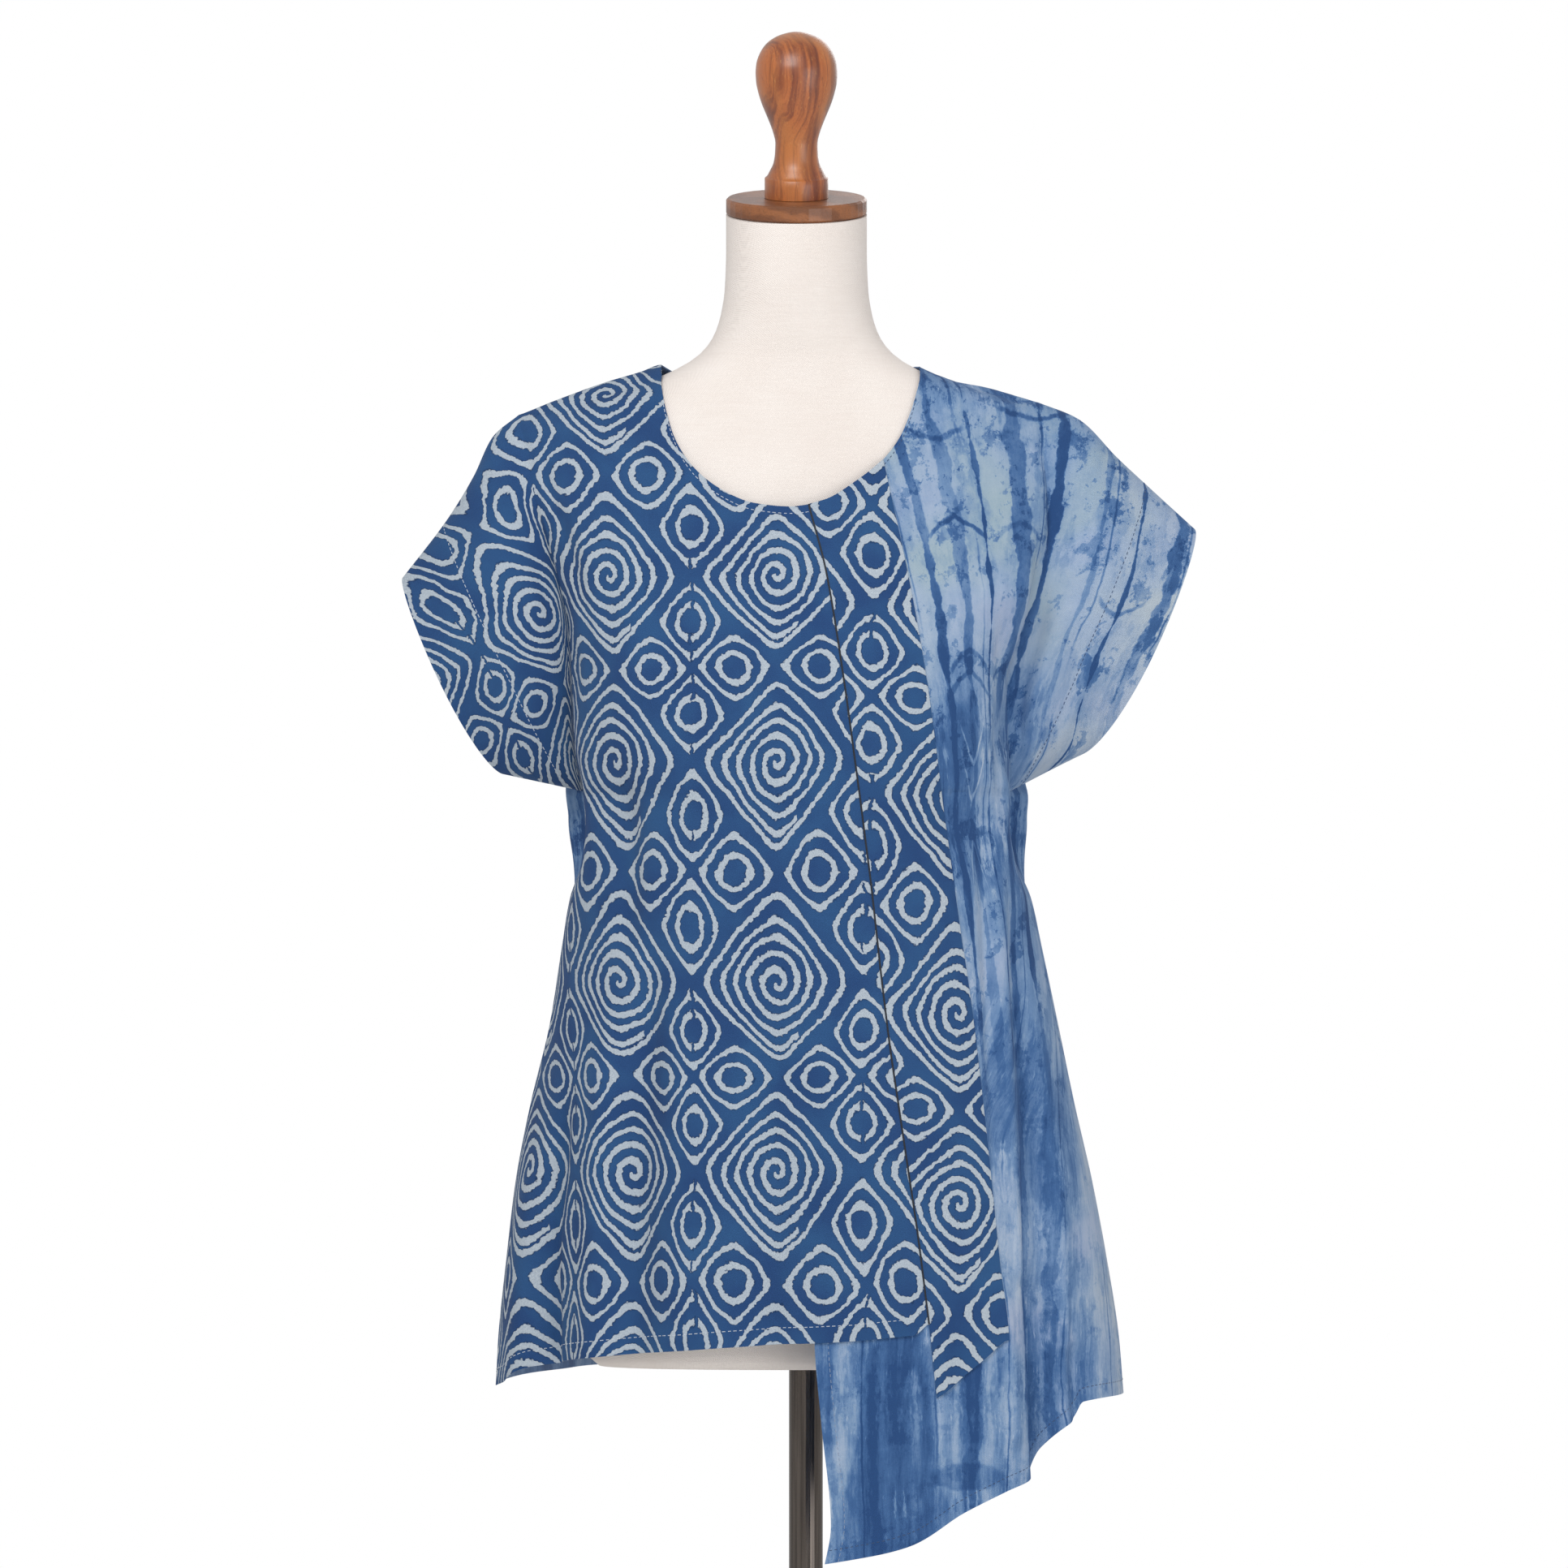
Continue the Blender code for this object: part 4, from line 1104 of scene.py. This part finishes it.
def weave(tree, u, v):
    """Height of a plain weave, worn and slubby, between about -1 and 1."""
    warp = (u * 5.2 + noise(tree, placed(tree, u * 0.3, v * 0.02)) * 0.8).done("SINE")
    weft = (v * 5.2 + noise(tree, placed(tree, u * 0.02, v * 0.3, 4.0)) * 0.8).done("SINE")
    slub = noise(tree, placed(tree, u * 1.6, v * 0.5, 9.0))
    return warp * weft * 0.5 + slub * 0.5


def rounded(tree, s, t, low, high):
    """Distance from a diamond's middle, round near it and with straight sides further out."""
    a, b = abs(s), abs(t)
    round_one = (s * s + t * t) * 0.5
    round_one = round_one.done("SQRT")
    straight = ((a.done("POWER", 7.0) + b.done("POWER", 7.0)) * 0.5).done("POWER", 1 / 7)
    return round_one.toward(straight, round_one.rising(low, high))


def print_ink(tree, u, v):
    """Millimetres by which a point lies inside a printed line, less than 0 outside it."""
    half_wide, half_high = REPEAT_WIDE / 2, REPEAT_HIGH / 2
    far = noise(tree, placed(tree, u * 0.012, v * 0.012, 2.0), 1.0)
    near = noise(tree, placed(tree, u * 0.045, v * 0.045, 5.0), 1.0)
    rag = noise(tree, placed(tree, u * 0.22, v * 0.22, 8.0), 1.0)
    lift = noise(tree, placed(tree, u * 0.05, v * 0.05, 14.0), 1.0)
    x = u - PRINT_COLUMN + far * 2.6 + near * 1.1 + rag * 0.7
    even = v - (PRINT_ROW + PRINT_SWAY)
    sway = (even * (math.pi / REPEAT_HIGH)).done("COSINE") * PRINT_SWAY
    y = even + sway - far * 2.2 + lift * 1.2 - rag * 0.6
    a, b = x.wrapped(half_wide) * (1 / half_wide), y.wrapped(half_high) * (1 / half_high)
    s, t = a + b, a - b
    reach = rounded(tree, s, t, 0.15, 0.75)
    turn = b.done("ARCTAN2", a) * (0.5 / math.pi)
    turns = reach * (1 / COIL_PITCH) - turn
    coil = (-abs(turns.done("FRACT") - 0.5) + COIL_LINE / 2) * (COIL_PITCH * half_wide)
    last = turn.rising(COIL_END + 0.02, COIL_END) + COIL_TURNS
    coil = coil.least((last - turns) * half_wide)
    ring = -abs(reach + a * RING_SLANT[0] + b * RING_SLANT[1] - RING_REACH) * half_wide + LINE / 2
    large = coil.most(ring)
    c = (x + half_wide).wrapped(half_wide) * (1 / half_wide)
    d = (y + half_high).wrapped(half_high) * (1 / half_high)
    p, q = c + d, c - d
    along, across_it = abs(p) + abs(q) - 1.0, (abs(p) - abs(q)) * SMALL_NARROW
    along = along * SMALL_LONG
    small_reach = rounded(tree, along + across_it, along - across_it, 0.3, 0.8)
    size = half_wide / 2
    rings = (-abs(small_reach - SMALL_RING) * size + LINE / 2).most(
        -abs(small_reach - INNER_RING) * size + LINE * 0.46)
    upright = (p * q).rising(0.02, -0.02)
    shut = noise(tree, placed(tree, u * 0.011, v * 0.017, 16.0), 0.0).rising(0.0, -0.15)
    away = abs(c * half_wide + near * 1.1)
    split = away + shut * 4.0 - SPLIT / 2
    knob = away.rising(3.8, 0.8).toward(abs(d * half_high).rising(3.4, 0.4), -upright + 1.0)
    rings = rings + knob * KNOB
    rings = rings.toward(rings.least(split), upright)
    inside = (abs(s).most(abs(t))).rising(1.0, 0.995)
    ink = rings.toward(large, inside)
    edge = noise(tree, placed(tree, u * 0.42, v * 0.42, 11.0), 1.0)
    return ink + edge * 0.62 + near * 0.35


def batik_cloth():
    material, tree, shader = new_material("batik_cloth", "2f5793", 0.88, Sheen_Weight=0.04,
                                          Sheen_Roughness=0.5, Specular_IOR_Level=0.15)
    u, v, reverse = cloth_fields(tree)
    ink = print_ink(tree, u, v)
    pool = noise(tree, placed(tree, u * 0.02, v * 0.02, 20.0), 3.0)
    ground = blended(tree, pool.rising(-0.8, 0.9), "284879", "305887")
    fleck = noise(tree, placed(tree, u * 0.9, v * 0.7, 31.0), 2.0)
    ground = blended(tree, fleck.rising(0.4, 1.6) * 0.25, ground, "416a9c")
    rim = ink.rising(-0.95, -0.3) * 0.75
    ground = blended(tree, rim, ground, "1a3459")
    paste = blended(tree, fleck.rising(-1.2, 1.0), "a6b2c0", "bac5cf")
    bare = ink.rising(-0.3, 0.3)
    color = blended(tree, bare, ground, paste)
    color = blended(tree, reverse * 0.4, color, "8197b6")
    painted(tree, shader, color)
    height = weave(tree, u, v) + bare * 0.35
    bumped(tree, shader, height, 0.00022)
    return material


def tie_dye_stripes(stripes, along_it, rag, breadth, fade):
    """How much the stripes deepen the dye at a distance from the middle."""
    total = None
    for stripe in stripes:
        inside = -abs(along_it - stripe.place) + stripe.width / 2
        inside = inside + breadth * (0.5 + 0.3 * stripe.width)
        soft = 0.4 + 0.06 * stripe.width
        one = (inside + rag * (1.2 + 0.16 * stripe.width)).rising(-soft, 0.6 * soft)
        halo = (inside + rag * 4.0).rising(-8.0, 5.0) * 0.22
        one = (one + halo) * stripe.strength
        total = one if total is None else total.most(one)
    return total * fade


def tie_dye_arches(along_it, v, rag):
    """Thin arched lines where a fold of the pleats held the dye back."""
    total = None
    for arch in ARCHES:
        off = (along_it - arch.place) * (1 / arch.half_width)
        line = v - arch.level + (off * off + abs(off)) * (arch.drop / 2)
        one = (-abs(line + rag * 3.0) + 2.2).rising(-1.2, 1.2) * abs(off).rising(1.2, 0.8)
        one = one * arch.strength
        total = one if total is None else total + one
    return total


def tie_dye_patches(out, v, rag):
    """How much deeper the dye is in the patches, less than 0 where it is paler."""
    total = None
    for patch in PATCHES:
        aside = (out - patch.place) * (1 / patch.half_width)
        above = (v - patch.level) * (1 / patch.half_height)
        far = aside * aside + above * above + rag * 0.7
        one = far.rising(1.35, 0.65) * patch.change
        total = one if total is None else total + one
    return total


def tie_dye_cloth():
    material, tree, shader = new_material("tie_dye_cloth", "7f9cc9", 0.88, Sheen_Weight=0.04,
                                          Sheen_Roughness=0.5, Specular_IOR_Level=0.15)
    u, v, reverse = cloth_fields(tree)
    waver = noise(tree, placed(tree, u * 0.006, v * 0.011, 3.0), 2.0)
    jag = noise(tree, placed(tree, u * 0.07, v * 0.045, 6.0), 4.0, 0.65)
    out = abs(u)
    fan = (-out + STRIPE_UPRIGHT) * STRIPE_FAN
    along_it = out + (v - STRIPE_LEVEL) * fan.most(0.0) + waver * 2.6
    falls = v.rising(*PLEATS_FALL)
    across_pleats = along_it.toward(out + waver * 2.6 + PLEATS_OFF, falls)
    fold = (across_pleats + jag * 0.8).done("PINGPONG", PLEAT)
    which = across_pleats * (1 / (2 * PLEAT))
    own = noise(tree, placed(tree, which * 0.9, v * 0.006, 12.0), 2.0)
    cloud = noise(tree, placed(tree, fold * 0.03, v * 0.012, 17.0), 7.0, 0.7)
    streak = noise(tree, placed(tree, fold * 0.13, v * 0.012, 23.0), 5.0, 0.7)
    mottle = noise(tree, placed(tree, u * 0.06, v * 0.045, 29.0), 7.0, 0.75)
    by_pleat = noise(tree, placed(tree, which * 1.9, v * 0.002, 40.0), 1.0)
    level = v + cloud * 40.0 + (fold - PLEAT / 2) * 1.1
    level = level + by_pleat * out.rising(115.0, 70.0) * 110.0
    levels = ramp(tree, level, DYE_DEPTHS, LOWEST, HIGHEST)
    split = tree.nodes.new("ShaderNodeSeparateColor")
    tree.links.new(levels, split.inputs[0])
    body = Field(tree, split.outputs[0])
    sleeve = (out - 232.0).rising(-10.0, 22.0)
    depth = body.toward(body * 0.0 + SLEEVE_DYE, sleeve)
    busy = depth.rising(0.2, 0.6)
    patchy = (cloud.rising(-0.4, 0.4) + cloud.rising(-0.05, 0.05)) * 0.5 - 0.5
    patchy = patchy * (busy * 0.16 + 0.14) * (-falls * 0.4 + 1.0)
    soak = depth + patchy + own * 0.08 + mottle * 0.12
    streaky = busy * 0.1 + falls * 0.14 + 0.05
    soak = soak + streak * streaky + tie_dye_patches(out, v, cloud)
    breadth = noise(tree, placed(tree, along_it * 0.02, v * 0.022, 33.0), 2.0)
    fade = own.rising(-1.2, 0.1) * 0.6 + 0.4
    stripes = tie_dye_stripes(STRIPES, along_it, jag, breadth, fade * (-falls + 1.0))
    low = tie_dye_stripes(LOW_STRIPES, out + waver * 5.0, jag * 1.4, breadth, fade * falls)
    soak = soak + (stripes + low) * (-depth + 1.0) * 0.85
    soak = soak + tie_dye_arches(along_it, v, jag)
    held = (-abs(fold - PLEAT) + 0.7).rising(-0.5, 0.6) * own.rising(-0.3, 0.1)
    soak = soak + held * 0.34
    cuff = noise(tree, placed(tree, u * 0.07, v * 0.028, 75.0), 6.0, 0.68).rising(-0.02, 0.1)
    soak = soak + (cuff - 0.55) * out.rising(262.0, 300.0) * 0.26
    blot = noise(tree, placed(tree, u * 0.04, v * 0.032, 66.0), 6.0, 0.72).rising(0.22, 0.34)
    soak = soak + blot * (-falls * 0.16 + 0.26)
    speck = noise(tree, placed(tree, u * 0.16, v * 0.11, 71.0), 3.0, 0.7)
    soak = soak + speck.rising(0.4, 0.6) * v.rising(1150.0, 1300.0) * 0.24
    vein = noise(tree, placed(tree, fold * 0.2, v * 0.035, 81.0), 4.0, 0.7)
    soak = soak - vein.rising(0.3, 0.8) * busy * 0.3
    grain = noise(tree, placed(tree, u * 0.8, v * 0.5, 90.0), 3.0, 0.7)
    soak = soak + grain * 0.035
    color = ramp(tree, soak, DYE_SHADES)
    tint = noise(tree, placed(tree, u * 0.012, v * 0.01, 95.0), 2.0)
    pale = soak.rising(0.65, 0.2)
    green = tint.rising(-0.3, 0.7) * (v.rising(1050.0, 1250.0) * 0.4 + 0.1)
    color = blended(tree, green * pale, color, "9fb4b2")
    color = blended(tree, tint.rising(-0.1, -0.7) * pale * 0.3, color, "a3aaca")
    grey = tint.rising(-0.2, 0.6) * 0.4 + 0.2
    color = blended(tree, grey * sleeve * pale, color, "bcc4cc")
    color = blended(tree, reverse * 0.25, color, "a9b9d4")
    painted(tree, shader, color)
    bumped(tree, shader, weave(tree, u, v), 0.00022)
    return material


def own_place(tree):
    """The object's own coordinates in millimetres, as three fields."""
    node = tree.nodes.new("ShaderNodeTexCoord")
    parts = tree.nodes.new("ShaderNodeSeparateXYZ")
    tree.links.new(node.outputs["Object"], parts.inputs[0])
    return [Field(tree, parts.outputs[i]) * 1000.0 for i in range(3)]


def form_cloth():
    material, tree, shader = new_material("form_cloth", "f1e9e2", 0.9, Sheen_Weight=0.1,
                                          Specular_IOR_Level=0.2)
    x, y, z = own_place(tree)
    knit = (z * 4.4).done("SINE") * (x * 4.4 + y * 4.4).done("SINE")
    tone = noise(tree, placed(tree, x * 0.015, y * 0.015, z * 0.015), 2.0)
    thick = noise(tree, placed(tree, x * 0.05, y * 0.05, z * 0.9), 3.0, 0.7)
    tone = tone * 0.7 + thick * 0.5
    color = blended(tree, tone.rising(-1.0, 1.0), "ebe1da", "f2eae4")
    painted(tree, shader, color)
    bumped(tree, shader, knit, 0.00012)
    return material


def finial_wood():
    material, tree, shader = new_material("finial_wood", "9a5f38", 0.4, Coat_Weight=0.7,
                                          Coat_Roughness=0.3, Specular_IOR_Level=0.5)
    x, y, z = own_place(tree)
    turned_x = x - FORM_X
    drift = noise(tree, placed(tree, turned_x * 0.04, y * 0.04, z * 0.012), 2.0)
    side = turned_x + y * 0.4 + drift * 5.0
    band = noise(tree, placed(tree, side * 0.11, y * 0.02, z * 0.002), 3.0, 0.6)
    line = noise(tree, placed(tree, side * 0.45, y * 0.05, z * 0.003), 2.0)
    pore = noise(tree, placed(tree, turned_x * 0.9, y * 0.9, z * 0.06), 4.0, 0.7)
    color = blended(tree, band.rising(-0.45, 0.35), "78340f", "b4632a")
    color = blended(tree, line.rising(0.0, 0.8) * 0.55, color, "64290c")
    color = blended(tree, pore.rising(0.1, 0.9) * 0.5, color, "3f1a08")
    color = blended(tree, drift.rising(-0.2, 0.8) * 0.4, color, "bd7836")
    color = blended(tree, pore.rising(-0.3, -0.9) * 0.5, color, "d39a55")
    painted(tree, shader, color)
    bumped(tree, shader, pore * -1.0, 0.00006)
    return material


def cap_wood():
    material, tree, shader = new_material("cap_wood", "5b3626", 0.42, Coat_Weight=0.4,
                                          Coat_Roughness=0.2)
    x, y, z = own_place(tree)
    drift = noise(tree, placed(tree, x * 0.04, y * 0.04, z * 0.08), 3.0)
    band = (x * 0.1 + z * 0.42 + drift * 2.2).done("SINE")
    pore = noise(tree, placed(tree, x * 0.5, y * 0.5, z * 0.9), 3.0, 0.7)
    color = blended(tree, band.rising(-1.0, 1.0), "74421f", "94592f")
    color = blended(tree, pore.rising(0.0, 1.1) * 0.6, color, "472409")
    painted(tree, shader, color)
    bumped(tree, shader, pore * -1.0, 0.00008)
    return material


def pole_metal():
    material, tree, shader = new_material("pole_metal", "4a4542", 0.24, Metallic=1.0)
    x, y, z = own_place(tree)
    streak = noise(tree, placed(tree, x * 0.5, y * 0.5, z * 0.01), 3.0, 0.6)
    color = blended(tree, streak.rising(-1.0, 1.0), "4a4542", "716963")
    painted(tree, shader, color)
    rough = streak.rising(-1.5, 1.5) * 0.15 + 0.18
    tree.links.new(rough.socket, shader.inputs["Roughness"])
    return material


def thread(name, color):
    material, tree, shader = new_material(name, color, 0.7, Sheen_Weight=0.3)
    x, y, z = own_place(tree)
    twist = (x * 6.0 + y * 6.0 + z * 6.0).done("SINE")
    bumped(tree, shader, twist, 0.0001)
    return material


# Painted seam shadow, and the edges that stitches run along

def seam_shadow_strip(edge, across_it, material):
    """A dark strip between two pieces sewn side by side, the painted shadow of the groove there."""
    places, ups = edge
    run = np.gradient(places, axis=0)
    run /= np.linalg.norm(run, axis=1, keepdims=True)
    aside = np.cross(run, ups)
    aside *= np.sign(aside[:, :1])
    lift = ups * SEAM_SHADOW_LIFT
    rows = [places + aside * near + lift for near in across_it]
    points = np.concatenate(rows)
    count = len(places)
    faces = [(i, i + 1, i + 1 + count, i + count) for i in range(count - 1)]
    return mesh_thing("front_seam_shadow", points, faces, material)


def from_hem(grid):
    """The grid's points and normals with the hem first."""
    return [part[::-1].transpose(1, 0, 2) for part in grid]


def from_side(grid, last=True):
    """The same with the last column first, or the first column."""
    return [part[:, ::-1] if last else part for part in grid]


def from_neck(grid, first, last):
    """The same with the neckline first, between two shares of the columns."""
    count = grid[0].shape[1]
    chosen = slice(round(first * count), round(last * count))
    return [part[:, chosen].transpose(1, 0, 2) for part in grid]


# The scene

def shown(thing, node=None):
    """Puts a piece on the body and hides the solid that it stands for, if any."""
    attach(thing, "root")
    if node:
        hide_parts(node)


def dressed():
    """Builds the blouse and its stitches, and hides the solids that the pieces stand for."""
    batik, dyed = batik_cloth(), tie_dye_cloth()
    pale, dark = thread("thread_pale", "c9d2de"), thread("thread_dark", "2a4670")
    middling = thread("thread_middling", "8597b4")
    pieces = {
        "front_batik": front_batik(batik),
        "front_strip": front_strip(batik),
        "front_tiedye": front_tiedye(dyed),
        "back": back(dyed),
    }
    for node, piece in pieces.items():
        shown(piece.thing, node)
    body, sleeve = pieces["front_batik"].grids
    lines = [inset(from_hem(body), PRINT_HEM_TURNED), inset(from_side(sleeve), SLEEVE_TURNED),
             inset(from_neck(body, 0.0, 0.6), PRINT_NECK_TURNED)]
    sewing = {"front_batik": [stitches("front_batik_stitches", lines, STITCH, EDGE_GAP, pale)]}
    print_edge = [part[:, 0] for part in body]
    body, sleeve = pieces["front_tiedye"].grids
    lines = [inset(from_side(body, last=False), HEM_TURNED)]
    sewing["front_tiedye"] = [stitches("front_tiedye_edge_stitches", lines, STITCH, EDGE_GAP,
                                       middling)]
    lines = [inset(from_hem(body), HEM_TURNED), inset(from_side(sleeve), SLEEVE_TURNED),
             inset(from_neck(body, 0.2, 0.48), NECK_TURNED)]
    sewing["front_tiedye"].append(stitches("front_tiedye_stitches", lines, STITCH, GAP, dark))
    body, left, right = pieces["back"].grids
    lines = [inset(from_hem(body), HEM_TURNED), inset(from_side(left, last=False), SLEEVE_TURNED),
             inset(from_side(right), SLEEVE_TURNED), inset(from_neck(body, 0.3, 0.7), NECK_TURNED)]
    sewing["back"] = [stitches("back_stitches", lines, STITCH, GAP, dark)]
    # a dark strip along the printed front's edge, painted shadow of the groove between it and the
    # strip
    seam = seam_shadow_strip(print_edge, SEAM_SHADOW_ACROSS, thread("seam_shade", "0c1524"))
    sewing["front_batik"].append(seam)
    for node, threads in sewing.items():
        for thing in threads:
            shown(thing)
    # width, height and area of each sheet as it was cut, in metres
    cuts = {
        "front_batik": (0.43, 0.76, 0.235),
        "front_strip": (0.068, 0.70, 0.042),
        "front_tiedye": (0.34, 0.88, 0.224),
        "back": (0.66, 0.78, 0.41),
    }
    for node, (wide, high, area) in cuts.items():
        resting = ["form"] if node != "front_strip" else [pieces["front_tiedye"].thing]


def turned_finial(material):
    """The turned wood of the finial, round where the solid has flat sides."""
    keys = [height for height, _ in FINIAL]
    heights = np.concatenate([np.linspace(a, b, 4)[:3] for a, b in zip(keys, keys[1:])])
    heights = np.append(heights, keys[-1])
    turn = np.linspace(0, 2 * math.pi, TURNED_STEPS, endpoint=False)
    reach = read(FINIAL, heights)[:, None]
    up = np.repeat((heights + CAP_THICK)[:, None], TURNED_STEPS, axis=1)
    x, y = reach * np.cos(turn), reach * np.sin(turn)
    c, s = math.cos(CAP_TILT), math.sin(CAP_TILT)
    rings = np.stack([x, y * c - up * s + NECK_LEAN, y * s + up * c + CAP_BOTTOM], axis=-1)
    return mesh_thing("finial_turned", *lofted(rings), material)


def dress_form():
    form = mesh_thing("form_body", FORM_POINTS, FORM_FACES, form_cloth())
    shown(form, "form")
    finial = turned_finial(finial_wood())
    shown(finial, "finial")
    metal = pole_metal()
    looks = {"neck_cap": cap_wood(), "pole": metal, "base": metal}
    for node, material in looks.items():
        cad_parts[node].data.materials[0] = material


def studio():
    floor_material, tree, shader = new_material("floor", "f4f3f1", 0.6)
    size = 5000
    corners = [(-size, -size, -0.5), (size, -size, -0.5), (size, size, -0.5),
               (-size, size, -0.5)]
    floor = mesh_thing("floor", corners, [(0, 1, 2, 3)], floor_material)
    world = bpy.data.worlds.new("studio")
    bpy.context.scene.world = world
    world.use_nodes = True
    background = world.node_tree.nodes["Background"]
    background.inputs["Color"].default_value = (1, 1, 1, 1)
    path = world.node_tree.nodes.new("ShaderNodeLightPath")
    seen = Field(world.node_tree, path.outputs["Is Camera Ray"])
    strength = seen * (1 - AMBIENT) + AMBIENT
    world.node_tree.links.new(strength.socket, background.inputs["Strength"])
    lamps = (
        ("key", (-0.6, -2.0, 2.5), 1.2, KEY_POWER),
        ("fill", (2.0, -2.6, 0.8), 1.8, FILL_POWER),
        ("behind", (0.9, 3.0, 2.4), 1.6, BEHIND_POWER),
    )
    for name, place, size, power in lamps:
        light = bpy.data.lights.new(name, "AREA")
        light.size = size
        light.energy = power
        lamp = bpy.data.objects.new(name, light)
        lamp.location = place
        aim = Vector((0, 0, 1.05)) - lamp.location
        lamp.rotation_euler = aim.to_track_quat("-Z", "Y").to_euler()
        bpy.context.scene.collection.objects.link(lamp)


def camera():
    data = bpy.data.cameras.new("camera")
    data.lens = data.sensor_width * CAMERA_AWAY / PICTURE_SIZE
    data.clip_end = 100
    thing = bpy.data.objects.new("camera", data)
    thing.location = (PICTURE_MIDDLE[0], -CAMERA_AWAY, PICTURE_MIDDLE[1])
    thing.rotation_euler = (math.radians(90), 0, 0)
    bpy.context.scene.collection.objects.link(thing)
    bpy.context.scene.camera = thing


bpy.context.scene.view_settings.view_transform = "Standard"
WIDTHS = {face: widths_table(face) for face in ("front", "back")}
HEIGHTS = {face: heights_table(face) for face in ("front", "back")}
dressed()
dress_form()
studio()
camera()
